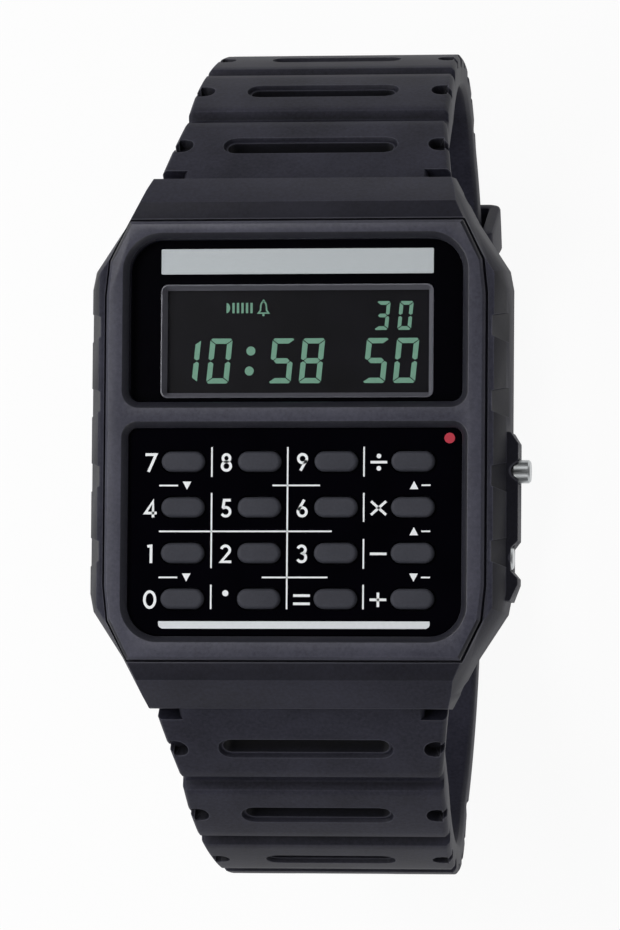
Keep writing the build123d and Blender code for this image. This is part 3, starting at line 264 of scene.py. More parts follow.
# Stainless steel, turned or brushed: fine scratches along one axis
steel = brushedMetal("turnedStainless", {
    "dark": "#a5a9ab", "light": "#c9cccd", "roughness": 0.3, "lineMm": 0.08, "stretch": (0.15, 1, 1),
    "metallic": 1.0})
backSteel = brushedMetal("brushedStainlessBack", {
    "dark": "#a9abac", "light": "#cfd1d2", "roughness": 0.32, "lineMm": 0.1, "stretch": (1, 0.03, 1),
    "metallic": 1.0})
# Anodised aluminium foil with a satin face, pale and even
bandMetal = brushedMetal("satinAnodisedBand", {
    "dark": "#c2c9cc", "light": "#ced4d8", "roughness": 0.6, "lineMm": 0.12, "stretch": (0.3, 1, 1),
    "metallic": 0.0})
# Rolled brass: warm, with fine lines
brass = brushedMetal("rolledBrass", {
    "dark": "#b8964a", "light": "#cfae62", "roughness": 0.3, "lineMm": 0.1, "stretch": (0.1, 1, 1),
    "metallic": 1.0})


def printedInk(name, light, dark):
    return patterned(name, {
        "tones": (light, dark), "patternMm": 0.3, "detail": 2.0, "shader": {"Roughness": 0.6}})


# Screen-printed ink: matt, with faint unevenness
whiteInk = printedInk("whiteScreenInk", "#f2f4f5", "#e2e5e7")
barInk = printedInk("paleScreenInk", "#d9dde0", "#cdd1d4")
redInk = printedInk("redScreenInk", "#b8253b", "#ab2035")
# Reflecting film behind the switched segments, seen through a dark polariser
segmentInk = printedInk("paleGreenSegments", "#7dae97", "#6fa089")
# Dark polarising film: nearly black, with a dull gloss
lcdDark = glossPanel("darkDisplayFilm", "#121118", 0.3)
# Clear acrylic, polished: almost nothing to see but a faint gloss
windowClear = patterned("clearAcrylicWindow", {
    "tones": ("#020203", "#040407"), "patternMm": 5.0, "detail": 1.0,
    "shader": {"Roughness": 0.04, "IOR": 1.49, "Alpha": 0.06}})
print("stage: materials")


# Softened copies of hard pieces

def tidyCopy(node, name):  # a merged copy of a node's mesh with its flat faces joined
    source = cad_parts[node]
    mesh = source.data.copy()
    mesh.name = name
    work = bmesh.new()
    work.from_mesh(mesh)
    bmesh.ops.remove_doubles(work, verts=work.verts, dist=0.0005 * mm)
    bmesh.ops.dissolve_limit(
        work, angle_limit=math.radians(0.6), verts=work.verts, edges=work.edges, delimit={"NORMAL"})
    work.to_mesh(mesh)
    work.free()
    mesh.transform(source.matrix_world)
    return mesh


softEdges = {"case": 0.05, "bezel": 0.06, "keys": 0.1, "buckle": 0.12, "angle": 28}


def softenedNode(node, name, material, body, width, segments=2):
    obj = newObject(name, tidyCopy(node, name), material)
    bevel = obj.modifiers.new("softEdges", "BEVEL")
    bevel.width = width * mm
    bevel.segments = segments
    bevel.limit_method = "ANGLE"
    bevel.angle_limit = math.radians(softEdges["angle"])
    bevel.harden_normals = True
    for polygon in obj.data.polygons:
        polygon.use_smooth = True
    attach(obj, body)
    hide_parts(node)
    return obj


def paintShadeOnFaces(obj, material, test):  # faces that pass the test get the darker copy as painted shade; test takes a face's centre in mm and its normal
    obj.data.materials.append(material)
    for polygon in obj.data.polygons:
        if test(polygon.center / mm, polygon.normal):
            polygon.material_index = 1


# Bounds of the faces that are painted darker as painted shade
paintedShadeFaces = {
    "facetY": (17.9, 19.6), "facetZ": 7.0, "flangeX": 15.9, "flangeZ": 4.6, "windowX": 14.6, "windowY": 17.0,
}


def onFacetOrFlange(centre, normal):  # the first facet beyond the bezel, and the slopes of the sides: painted darker as painted shade
    low, high = paintedShadeFaces["facetY"]
    facet = low < abs(centre.y) < high and centre.z > paintedShadeFaces["facetZ"] and abs(normal.y) > 0.1
    flange = abs(centre.x) > paintedShadeFaces["flangeX"] and centre.z > paintedShadeFaces["flangeZ"] and normal.z > 0.15
    return facet or flange


def onWindowBevel(centre, normal):  # bevels and walls of the windows, and the hidden underside: painted darker as painted shade
    inside = abs(centre.x) < paintedShadeFaces["windowX"] and abs(centre.y) < paintedShadeFaces["windowY"]
    return inside and normal.z < 0.97


caseShell = softenedNode("case_body", "caseShell", caseResin, "root", softEdges["case"])
# The case's first facets and side slopes, and the bezel's window bevels, get painted shade
paintShadeOnFaces(caseShell, shadedFacetResin, onFacetOrFlange)
bezelPlate = softenedNode("bezel", "bezelPlate", bezelResin, "root", softEdges["bezel"])
paintShadeOnFaces(bezelPlate, shadedBevelResin, onWindowBevel)
for node in sorted(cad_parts):
    if node.startswith("key_"):
        softenedNode(node, "rubber_" + node, keyRubber, node, softEdges["keys"], 3)
softenedNode("buckle_frame", "buckleFrame", steel, "buckle", softEdges["buckle"])
softenedNode("buckle_tang", "buckleTongue", steel, "buckle_tang", softEdges["buckle"])
print("stage: case, bezel, keys and buckle")


# Strap loop: a flat band with its slots and grooves is wrapped along the outside line of the loop

loop = {
    "barY": 19.85, "barZ": 2.95, "rootAngle": 46.8, "startAngle": 44.8, "rootThickness": 3.3,
    "lugRadius": 60.0, "lugAngle": 34.0, "apexRadius": 29.5, "turnRadius": 16.0, "turnAngle": -45.0,
    "backRadius": 34.0, "apexThickness": 2.6, "endThickness": 2.3, "barEndY": 2.0,
    "rootHalf": 10.05, "startHalf": 11.9, "midHalf": 10.9, "midAngle": 38.3, "apexHalf": 9.75, "endHalf": 9.0,
    "tailGap": 0.3, "tailThickness": 2.2, "rampStartY": 5.4, "rampEndY": 0.0, "tailTipAngle": 58.5,
    "tailTipLength": 6.0, "tailTipHalf": 4.5, "step": 0.35, "sharpAngle": 32,
}


def outward(angle):
    return math.cos(math.radians(angle)), math.sin(math.radians(angle))


def moved(point, angle, distance):
    c, s = outward(angle)
    return point[0] + distance * c, point[1] + distance * s


rootPoint = moved((loop["barY"], loop["barZ"]), loop["rootAngle"], loop["rootThickness"] / 2)
lugCentre = moved(rootPoint, loop["rootAngle"], -loop["lugRadius"])
apexCentre = moved(lugCentre, loop["lugAngle"], loop["lugRadius"] - loop["apexRadius"])
turnCentre = moved(apexCentre, 0, loop["apexRadius"] - loop["turnRadius"])
backCentre = moved(turnCentre, loop["turnAngle"], loop["turnRadius"] - loop["backRadius"])
backZ = backCentre[1] - loop["backRadius"]
upperRadius = apexCentre[1] - backZ
upperCentre = (apexCentre[0] + loop["apexRadius"] - upperRadius, apexCentre[1])
tailZ = backZ - loop["tailGap"] - loop["tailThickness"]
tailRadius = upperRadius + loop["tailGap"] + loop["tailThickness"]


def bendsOf(upper):  # centre, radius and the two angles of each bend, from the lug to the back
    bends = [(lugCentre, loop["lugRadius"], loop["rootAngle"], loop["lugAngle"]),
             (apexCentre, loop["apexRadius"], loop["lugAngle"], 0.0)]
    if upper:
        return bends + [(upperCentre, upperRadius, 0.0, -90.0)]
    return bends + [(turnCentre, loop["turnRadius"], 0.0, loop["turnAngle"]),
                    (backCentre, loop["backRadius"], loop["turnAngle"], -90.0)]


def angleAt(distance, upper):  # the way that the outside faces, at a distance from the root
    for centre, radius, first, last in bendsOf(upper):
        length = math.radians(first - last) * radius
        if distance <= length:
            return first - math.degrees(distance / radius)
        distance -= length
    return -90.0


def ribbedLength(upper):
    return sum(math.radians(first - last) * radius for _, radius, first, last in bendsOf(upper))


def arcPoints(centre, radius, first, last):
    count = max(2, math.ceil(math.radians(abs(first - last)) * radius / loop["step"]))
    return [moved(centre, lerp(first, last, i / count), radius) for i in range(count + 1)]


noseLength = loop["rootThickness"] / 2


def levelRun(first, last, z, count=30):
    return [(lerp(first, last, i / count), z) for i in range(1, count + 1)]


def loopPath(upper):  # the outside line in its own plane, as (y, z) from the nose at the bar
    y0, z0 = rootPoint
    c, s = outward(loop["rootAngle"])
    points = [(y0 - s * noseLength, z0 + c * noseLength), rootPoint]
    for bend in bendsOf(upper):
        points += arcPoints(*bend)[1:]
    if upper:
        return points + levelRun(upperCentre[0], loop["barEndY"] - 2.0, backZ)
    run = loop["rampStartY"] - loop["rampEndY"]
    for i in range(25):
        share = i / 24
        rise = share * share * (3 - 2 * share)
        points.append((loop["rampStartY"] - run * share, lerp(backZ, tailZ, rise)))
    points += levelRun(loop["rampEndY"], -upperCentre[0], tailZ)
    centre = (-upperCentre[0], upperCentre[1])
    points += arcPoints(centre, tailRadius, -90.0, -180.0 + loop["tailTipAngle"] - 2.0)[1:]
    return points


def pathDistances(points):
    total, distances = -noseLength, [-noseLength]
    for a, b in zip(points, points[1:]):
        total += math.dist(a, b)
        distances.append(total)
    return distances


def pathObject(name, points, side):
    curve = bpy.data.curves.new(name, "CURVE")
    curve.dimensions = "3D"
    spline = curve.splines.new("POLY")
    spline.points.add(len(points) - 1)
    for point, (y, z) in zip(spline.points, points):
        point.co = (0, side * y * mm, z * mm, 1)
    return newObject(name, curve)


def wrapTree():  # Geometry Nodes: across, along and up of a flat band become a place on the path
    tree = bpy.data.node_groups.new("wrapAlongPath", "GeometryNodeTree")
    sockets = {}
    for name, kind in (("Geometry", "Geometry"), ("Path", "Object"), ("Start Length", "Float"),
                       ("Outward Side", "Float"), ("Finish", "Material")):
        socket = tree.interface.new_socket(name, in_out="INPUT", socket_type="NodeSocket" + kind)
        sockets[name] = socket.identifier
    tree.interface.new_socket("Geometry", in_out="OUTPUT", socket_type="NodeSocketGeometry")
    start = addNode(tree, "NodeGroupInput")
    path = addNode(tree, "GeometryNodeObjectInfo", {"Object": start.outputs["Path"]})
    place = addNode(tree, "GeometryNodeInputPosition")
    flat = addNode(tree, "ShaderNodeSeparateXYZ", {0: place.outputs[0]})
    along = addNode(tree, "ShaderNodeMath", {
        0: flat.outputs["Y"], 1: start.outputs["Start Length"]}, operation="ADD")
    spot = addNode(tree, "GeometryNodeSampleCurve", {
        "Curves": path.outputs["Geometry"], "Length": along.outputs[0]}, mode="LENGTH")
    out = addNode(tree, "ShaderNodeVectorMath", {
        0: (1.0, 0.0, 0.0), 1: spot.outputs["Tangent"]}, operation="CROSS_PRODUCT")
    lift = addNode(tree, "ShaderNodeMath", {
        0: flat.outputs["Z"], 1: start.outputs["Outward Side"]}, operation="MULTIPLY")
    raised = addNode(tree, "ShaderNodeVectorMath", {
        0: out.outputs[0], "Scale": lift.outputs[0]}, operation="SCALE")
    across = addNode(tree, "ShaderNodeCombineXYZ", {"X": flat.outputs["X"]})
    base = addNode(tree, "ShaderNodeVectorMath", {
        0: spot.outputs["Position"], 1: across.outputs[0]}, operation="ADD")
    final = addNode(tree, "ShaderNodeVectorMath", {0: base.outputs[0], 1: raised.outputs[0]}, operation="ADD")
    bent = addNode(tree, "GeometryNodeSetPosition", {
        "Geometry": start.outputs["Geometry"], "Position": final.outputs[0]})
    real = addNode(tree, "GeometryNodeRealizeInstances", {"Geometry": bent.outputs[0]})
    finish = addNode(tree, "GeometryNodeSetMaterial", {
        "Geometry": real.outputs[0], "Material": start.outputs["Finish"]})
    addNode(tree, "NodeGroupOutput", {"Geometry": finish.outputs[0]})
    return tree, sockets


wrapGroup, wrapSockets = wrapTree()
upperPoints, lowerPoints = loopPath(True), loopPath(False)
loopLines = {
    "upper": pathObject("upperLine", upperPoints, 1), "lower": pathObject("lowerLine", lowerPoints, -1),
}


def strapPiece(work, name, half, body, node):  # the flat band bent along one half's line
    obj = newObject(name, meshFrom(work, "flatBand"), strapResin)
    modifier = obj.modifiers.new("wrap", "NODES")
    modifier.node_group = wrapGroup
    modifier[wrapSockets["Path"]] = loopLines[half]
    modifier[wrapSockets["Start Length"]] = noseLength * mm
    modifier[wrapSockets["Outward Side"]] = 1.0 if half == "upper" else -1.0
    modifier[wrapSockets["Finish"]] = strapResin
    depsgraph = bpy.context.evaluated_depsgraph_get()
    depsgraph.update()
    mesh = bpy.data.meshes.new_from_object(obj.evaluated_get(depsgraph))
    obj.modifiers.remove(modifier)
    work = bmesh.new()
    work.from_mesh(mesh)
    bmesh.ops.remove_doubles(work, verts=work.verts, dist=0.002 * mm)
    bmesh.ops.dissolve_degenerate(work, edges=work.edges, dist=0.001 * mm)
    bmesh.ops.recalc_face_normals(work, faces=work.faces)
    work.to_mesh(mesh)
    work.free()
    mesh.shade_smooth()
    mesh.set_sharp_from_angle(angle=math.radians(loop["sharpAngle"]))
    mesh.name = name
    obj.data = mesh
    paint(obj, strapResin)
    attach(obj, body)
    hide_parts(node)


def bandShell(work, rows, holeAt):  # top, under side and every wall of a flat band
    tops = [[newVert(work, x, d, -top) for x, top, low in line] for d, line in rows]
    lows = [[newVert(work, x, d, -low) for x, top, low in line] for d, line in rows]
    cells = len(rows[0][1]) - 1

    def solid(i, j):
        if not (0 <= i < len(rows) - 1 and 0 <= j < cells):
            return False
        return not (j == cells // 2 and holeAt((rows[i][0] + rows[i + 1][0]) / 2))

    for i in range(len(rows) - 1):
        for j in range(cells):
            if not solid(i, j):
                continue
            corners = [(i, j), (i, j + 1), (i + 1, j + 1), (i + 1, j)]
            work.faces.new([tops[a][b] for a, b in corners])
            work.faces.new([lows[a][b] for a, b in reversed(corners)])
            walls = [((i - 1, j), 0, 1), ((i, j + 1), 1, 2), ((i + 1, j), 2, 3), ((i, j - 1), 3, 0)]
            for beside, first, second in walls:
                if not solid(*beside):
                    (a, b), (c, d) = corners[first], corners[second]
                    work.faces.new([tops[a][b], lows[a][b], lows[c][d], tops[c][d]])


ribs = {
    "pitch": 8.71, "firstAlong": 25.47, "count": 5, "firstLength": 13.75, "lengthStep": 1.75,
    "slotRadius": 0.75, "rimRadius": 1.1, "rimDepth": 0.32, "rimLip": 0.12,
    "grooveShape": [(0.5, 0.75), (0.56, 0.72), (0.61, 0.64), (0.84, 0.1), (0.88, 0.03), (0.96, 0.0)],
    "scoopRadius": 0.9, "scoopSetIn": 0.75, "scoopDepth": 0.9, "scoopLip": 0.1, "scoopNeck": 0.5,
    "edgeShape": [(0.34, 0.0), (0.26, 0.03), (0.05, 0.3), (0.0, 0.42)], "rowGap": 0.9,
}
rimFlat, scoopFlat = ribs["rimRadius"] - ribs["rimLip"], ribs["scoopRadius"] - ribs["scoopLip"]
apexDistance = sum(math.radians(a - b) * r for _, r, a, b in bendsOf(True)[:2])
slotPlaces = [apexDistance - ribs["firstAlong"] + k * ribs["pitch"] for k in range(ribs["count"])]
slotLengths = [ribs["firstLength"] - k * ribs["lengthStep"] for k in range(ribs["count"])]
slotHalves = [length / 2 - ribs["slotRadius"] for length in slotLengths]
groovePlaces = [place + ribs["pitch"] / 2 for place in slotPlaces]
startDistance = math.radians(loop["rootAngle"] - loop["startAngle"]) * loop["lugRadius"]


def bandHalfWidth(distance, upper):
    if distance < startDistance:
        return loop["rootHalf"]
    angle = angleAt(distance, upper)
    return tableValue([(loop["turnAngle"], loop["endHalf"]), (0, loop["apexHalf"]),
                       (loop["midAngle"], loop["midHalf"]), (loop["startAngle"], loop["startHalf"])], angle)


def bandThickness(distance, upper):
    return tableValue([(-90, loop["endThickness"]), (0, loop["apexThickness"]),
                       (loop["startAngle"], loop["rootThickness"])], angleAt(distance, upper))


def mirrored(line):  # both sides of the middle
    return [(-x, top, low) for x, top, low in reversed(line)] + line


def edged(line, half, top, low, extraTop=0.0):  # the rounded edge of the band
    middle = (top + low) / 2
    for inset, drop in ribs["edgeShape"]:
        upperLine = min(max(top + drop, extraTop), middle) if low - top < 1.2 else max(top + drop, extraTop)
        line.append((half - inset, upperLine, max(low - drop, middle)))
    return line


def ribbedLine(distance, upper):
    half, low = bandHalfWidth(distance, upper), bandThickness(distance, upper)
    groove = max(tableValue(ribs["grooveShape"], abs(distance - place)) for place in groovePlaces)
    nearest = min(range(ribs["count"]), key=lambda k: abs(distance - slotPlaces[k]))
    off = abs(distance - slotPlaces[nearest])
    slotX = tableValue(list(zip(slotPlaces, slotHalves)), distance)
    if off < ribs["slotRadius"] + ribs["rimRadius"]:
        slotX = slotHalves[nearest]

    def reach(radius):
        return slotX + chord(radius, off)

    floor = tableValue([(rimFlat, ribs["rimDepth"]), (ribs["rimRadius"], 0.0)], off)
    top = groove
    if distance < 0:
        reachHere = chord(noseLength, distance)
        top, low = noseLength - reachHere, noseLength + reachHere
    line = [(reach(ribs["slotRadius"]), top + floor, low), (reach(rimFlat), top + floor, low),
            (reach(ribs["rimRadius"]), top, low)]
    scoopTop = tableValue([(scoopFlat, ribs["scoopDepth"]), (ribs["scoopRadius"], 0.0)], off)
    edge = half - ribs["scoopSetIn"]
    scoopA = edge - chord(ribs["scoopRadius"], off)
    scoopB = chord(scoopFlat, off)
    dip = max(top, scoopTop)
    line += [(lerp(line[-1][0], scoopA - 0.05, 0.5), top, low), (scoopA - 0.02, top, low),
             (edge - scoopB, dip, low),
             (min(edge + 0.02 + scoopB, half - ribs["edgeShape"][0][0] - 0.03), dip, low)]
    return mirrored(edged(line, half, top, low, scoopTop if off < ribs["scoopNeck"] else 0.0))


def plainLine(holeX, half, top, low):
    line = [(lerp(holeX, half - 0.4, share), top, low) for share in (0, 0.12, 0.25, 0.4, 0.6, 0.8, 1)]
    return mirrored(edged(line, half, top, low))


def spaced(values, gap):  # sorted, without near doubles, and with long gaps filled
    kept = []
    for value in sorted(values):
        if not kept or value - kept[-1] > 0.004:
            kept.append(value)
    full = [kept[0]]
    for value in kept[1:]:
        count = math.ceil((value - full[-1]) / gap)
        first = full[-1]
        full += [lerp(first, value, i / count) for i in range(1, count + 1)]
    return full


def around(place, offsets):  # marks at each offset on both sides of a place
    return [place + side * offset for offset in offsets for side in (-1, 1)]


def ribbedRows(upper):
    length = ribbedLength(upper)
    marks = [0.0, startDistance - 0.012, startDistance, length]
    marks += [-noseLength * math.sin(math.radians(a)) for a in (15, 30, 45, 60, 75, 85, 90)]
    turns = [math.sin(math.radians(a)) for a in range(0, 91, 15)]
    for place in slotPlaces:
        offsets = [ribs["slotRadius"] * t for t in turns] + [rimFlat, ribs["rimRadius"]]
        offsets += [ribs["scoopRadius"], scoopFlat]
        offsets += [ribs["scoopNeck"] - 0.01, ribs["scoopNeck"] + 0.04]
        marks += around(place, offsets)
    for place in groovePlaces:
        marks += around(place, [offset for offset, _ in ribs["grooveShape"]])
    return [(d, ribbedLine(d, upper)) for d in spaced(marks, ribs["rowGap"]) if d <= length + 0.001]


def inSlot(distance):
    return any(abs(distance - place) < ribs["slotRadius"] for place in slotPlaces)


def keeperShell(work, first, last, values):  # a closed ring of band round the strap, edges softened
    soft = values["softEdge"]
    stations = [(first, soft), (first + soft * 0.3, soft * 0.3), (first + soft, 0.0)]
    stations += [(lerp(first + soft, last - soft, i / 6), 0.0) for i in range(1, 6)]
    stations += [(last - soft, 0.0), (last - soft * 0.3, soft * 0.3), (last, soft)]

    rings = []
    for d, inset in stations:
        outer = roundedBox(values["outerHalf"] - inset, values["outerLow"] + inset,
                           values["outerHigh"] - inset, values["radius"])
        inner = roundedBox(values["innerHalf"] + inset, values["innerLow"] - inset,
                           values["innerHigh"] + inset, values["innerRadius"] + inset)
        rings.append([[newVert(work, x, d, z) for x, z in points] for points in (outer, inner)])
    for a, b in zip(rings, rings[1:]):
        bridge(work, a[0], b[0])
        bridge(work, a[1], b[1])
    bridge(work, *rings[0])
    bridge(work, *rings[-1])


def meshFrom(work, name):
    mesh = bpy.data.meshes.new(name)
    work.to_mesh(mesh)
    work.free()
    return mesh


def keeperValues(half, thickness, low, high, outerLow=None):
    return {
        "innerHalf": half, "outerHalf": half + thickness, "innerLow": low, "innerHigh": high,
        "outerLow": low - thickness if outerLow is None else outerLow, "outerHigh": high + thickness,
        "radius": 0.9, "innerRadius": 0.25, "softEdge": 0.25,
    }


upperEnd = {
    "bossRadius": 1.25, "tangSlotHalf": 1.05, "slotEndY": 3.55, "keeperLowY": 8.0, "keeperHighY": 11.5,
    "keeperGap": 0.3, "keeperThickness": 0.95, "keeperLow": 0.3, "keeperHigh": 2.8, "keeperOuterLow": -2.3,
}


def upperStrap():
    length = ribbedLength(True)
    bar = length + upperCentre[0] - loop["barEndY"]
    slotEnd = length + upperCentre[0] - upperEnd["slotEndY"]
    radius, middle = upperEnd["bossRadius"], loop["endThickness"] / 2
    rows = ribbedRows(True)
    marks = [length + 1.0, slotEnd - 0.3, slotEnd, bar]
    turns = (-75, -50, -25, 15, 30, 45, 60, 75, 85, 90)
    marks += [bar + radius * math.sin(math.radians(a)) for a in turns]
    for d in spaced(marks, 1.2):
        top, low = 0.0, loop["endThickness"]
        if abs(d - bar) < radius + 0.001:
            bulge = chord(radius, d - bar)
            if d > bar:
                top, low = middle - bulge, middle + bulge
            else:
                top, low = min(top, middle - bulge), max(low, middle + bulge)
        rows.append((d, plainLine(upperEnd["tangSlotHalf"], loop["endHalf"], top, low)))
    work = bmesh.new()
    bandShell(work, rows, lambda d: inSlot(d) or d > slotEnd)
    v = upperEnd
    first = length + upperCentre[0] - v["keeperHighY"]
    keeperShell(work, first, first + v["keeperHighY"] - v["keeperLowY"], keeperValues(
        loop["endHalf"] + v["keeperGap"], v["keeperThickness"], v["keeperLow"], v["keeperHigh"],
        outerLow=v["keeperOuterLow"]))
    strapPiece(work, "upperStrap", "upper", "root", "strap_upper")


tail = {
    "holeInUseY": 1.7, "holeLength": 5.4, "holeWidth": 2.2, "holePitch": 7.4, "spareHoles": 3,
    "plainGap": 1.3, "endBevel": 0.3,
}


def tailHolePlaces():
    length = ribbedLength(False)
    distances = pathDistances(lowerPoints)

    def distanceAtY(y):  # on the ramp and the flat, where y falls all the way
        for (a, _), (b, _), da, db in zip(lowerPoints, lowerPoints[1:], distances, distances[1:]):
            if da >= length - 0.01 and b <= y <= a:
                return lerp(da, db, (a - y) / (a - b) if a > b else 0)
        return distances[-1]

    flatRight = backCentre[0] - tail["holeInUseY"]
    flatLeft = tail["holeInUseY"] + upperCentre[0]
    corner = distanceAtY(-upperCentre[0])
    places = [distanceAtY(tail["holeInUseY"])]
    for k in range(1, tail["spareHoles"] + 1):
        reach = k * tail["holePitch"]
        places.append(length - (reach - flatRight))
        onFlat = reach < flatLeft
        places.append(distanceAtY(tail["holeInUseY"] - reach) if onFlat else corner + reach - flatLeft)
    return places


def lowerStrap():
    length = ribbedLength(False)
    end = pathDistances(lowerPoints)[-1] - math.radians(2.0) * tailRadius
    holes = tailHolePlaces()
    radius = tail["holeWidth"] / 2
    straight = tail["holeLength"] / 2 - radius

    def holeX(d):
        off = min(abs(d - place) for place in holes)
        return chord(radius, off - straight) if straight < off < straight + radius else radius

    firstPlain = slotPlaces[-1] + ribs["pitch"] / 2 + tail["plainGap"]
    rows = [row for row in ribbedRows(False) if row[0] < firstPlain]
    marks = [firstPlain, length, end - 0.15, end]
    marks += [end - loop["tailTipLength"] * (1 - math.cos(math.radians(a))) for a in range(10, 91, 10)]
    for place in holes:
        offsets = [straight] + [straight + radius * math.sin(math.radians(a)) for a in range(15, 91, 15)]
        marks += around(place, offsets)
    for d in spaced([m for m in marks if firstPlain <= m <= end], 0.9):
        half, top = bandHalfWidth(d, False), 0.0
        low = loop["tailThickness"] if d > length else bandThickness(d, False)
        left = end - d
        if left < loop["tailTipLength"]:
            share = left / loop["tailTipLength"]
            rise = math.sqrt(1 - (1 - share) ** 2)
            half = loop["tailTipHalf"] + (loop["endHalf"] - loop["tailTipHalf"]) * rise
        if left < tail["endBevel"]:
            top, low = tail["endBevel"] - left, low - tail["endBevel"] + left
        rows.append((d, plainLine(holeX(d), half, top, low)))

    def isOpen(d):
        inHole = any(abs(d - place) < tail["holeLength"] / 2 for place in holes)
        return inHole or (inSlot(d) and d < firstPlain)

    work = bmesh.new()
    bandShell(work, rows, isOpen)
    strapPiece(work, "lowerStrap", "lower", "root", "strap_lower")


slidingKeeper = {
    "firstAngle": 64.0, "lastAngle": 73.5, "half": 9.3, "thickness": 1.0, "low": -2.9, "high": 2.8,
}


def looseKeeper():
    v, work = slidingKeeper, bmesh.new()
    first, last = (apexDistance + math.radians(v[end]) * upperRadius for end in ("firstAngle", "lastAngle"))
    keeperShell(work, first, last, keeperValues(v["half"], v["thickness"], v["low"], v["high"]))
    strapPiece(work, "slidingKeeper", "upper", "loose_keeper", "loose_keeper")


upperStrap()
lowerStrap()
looseKeeper()
for line in loopLines.values():
    bpy.data.objects.remove(line)
print("stage: straps and keeper")


# Print on the keypad panel and marks in the display

printing = {
    "panelZ": 7.455, "displayZ": 6.262, "inkDepth": 0.02, "bar": (-11.1, 11.07, -14.66, -15.26),
    "dot": (12.6, 0.15, 0.43),
}


def stroke(work, points, width, z, closed=False):  # a flat line of even width with mitred corners
    count = len(points)
    pairs = []
    for i, point in enumerate(points):
        before = points[i - 1] if i > 0 or closed else None
        after = points[(i + 1) % count] if i < count - 1 or closed else None
        ways = []
        for a, b in ((before, point), (point, after)):
            if a and b:
                length = math.dist(a, b)
                ways.append(((b[0] - a[0]) / length, (b[1] - a[1]) / length))
        sideX = -sum(w[1] for w in ways)
        sideY = sum(w[0] for w in ways)
        size = math.hypot(sideX, sideY)
        sideX, sideY = sideX / size, sideY / size
        mitre = max(abs(-ways[0][1] * sideX + ways[0][0] * sideY), 0.5)
        reach = width / 2 / mitre
        pairs.append([
            newVert(work, point[0] + s * reach * sideX, point[1] + s * reach * sideY, z) for s in (-1, 1)])
    for i in range(count if closed else count - 1):
        (a, b), (c, d) = pairs[i], pairs[(i + 1) % count]
        work.faces.new([a, c, d, b])


def patch(work, points, z):
    work.faces.new([newVert(work, x, y, z) for x, y in points])


def disc(work, cx, cy, radius, z):
    patch(work, arc(cx, cy, radius, radius, 0, 345, 23), z)


# Digits as strokes in a box 0.7 wide and 1 high, in the plain round style of the panel
digitStrokes = {
    "0": [arc(0.35, 0.5, 0.29, 0.43, 0, 345, 23)],
    "1": [[(0.2, 0.9), (0.4, 0.93), (0.4, 0.0)]],
    "2": [arc(0.34, 0.7, 0.23, 0.23, 165, -38) + [(0.1, 0.07), (0.66, 0.07)]],
    "3": [arc(0.33, 0.72, 0.21, 0.205, 160, -70) + arc(0.33, 0.3, 0.235, 0.23, 75, -155)],
    "4": [[(0.49, 0.0), (0.49, 0.88), (0.07, 0.24), (0.69, 0.24)]],
    "5": [[(0.6, 0.93), (0.25, 0.93), (0.19, 0.55)] + arc(0.33, 0.31, 0.24, 0.24, 118, -150)],
    "6": [arc(0.35, 0.3, 0.23, 0.23, 0, 345, 23), [(0.14, 0.38), (0.46, 0.95)]],
    "7": [[(0.05, 0.93), (0.63, 0.93), (0.22, 0.0)]],
    "8": [arc(0.35, 0.73, 0.19, 0.195, 0, 345, 23), arc(0.35, 0.3, 0.235, 0.23, 0, 345, 23)],
    "9": [arc(0.35, 0.7, 0.23, 0.23, 0, 345, 23), [(0.56, 0.62), (0.24, 0.05)]],
}
closedStrokes = {"0", "6", "8", "9"}
labels = {
    "columns": (-11.81, -5.61, 0.62, 6.85), "rows": (-1.79, -5.5, -9.2, -12.91), "height": 1.5, "width": 0.22,
    "digits": ("789", "456", "123", "0"), "signWidth": 1.36, "signStroke": 0.21, "plusHalf": 0.58,
    "divideDot": (0.5, 0.19), "timesHalf": 0.55, "equalsHalf": 0.33, "pointDot": (0.52, 0.25),
}


def printDigit(work, digit, cx, cy):
    size = labels["height"]
    for k, points in enumerate(digitStrokes[digit]):
        placed = [(cx + (x - 0.35) * size, cy + (y - 0.5) * size) for x, y in points]
        closed = digit in closedStrokes and len(points) > 20
        stroke(work, placed, labels["width"], printing["panelZ"], closed)


def printLine(work, x0, y0, x1, y1, width):
    stroke(work, [(x0, y0), (x1, y1)], width, printing["panelZ"])


def printSigns(work):
    v, rows, half, width = labels, labels["rows"], labels["signWidth"] / 2, labels["signStroke"]
    x, equalsX, z = v["columns"][3], v["columns"][2], printing["panelZ"]
    dotY, dotRadius = v["divideDot"]
    for y in (rows[0], rows[2], rows[3]):
        printLine(work, x - half, y, x + half, y, width)
    printLine(work, x, rows[3] - v["plusHalf"], x, rows[3] + v["plusHalf"], width)
    for side in (-1, 1):
        disc(work, x, rows[0] + side * dotY, dotRadius, z)
        tilt = side * v["timesHalf"]
        printLine(work, x - half * 0.9, rows[1] - tilt, x + half * 0.9, rows[1] + tilt, width)
        y = rows[3] + side * v["equalsHalf"]
        printLine(work, equalsX - half, y, equalsX + half, y, width)
    pointY, pointRadius = v["pointDot"]
    disc(work, v["columns"][1], rows[3] + pointY, pointRadius, z)


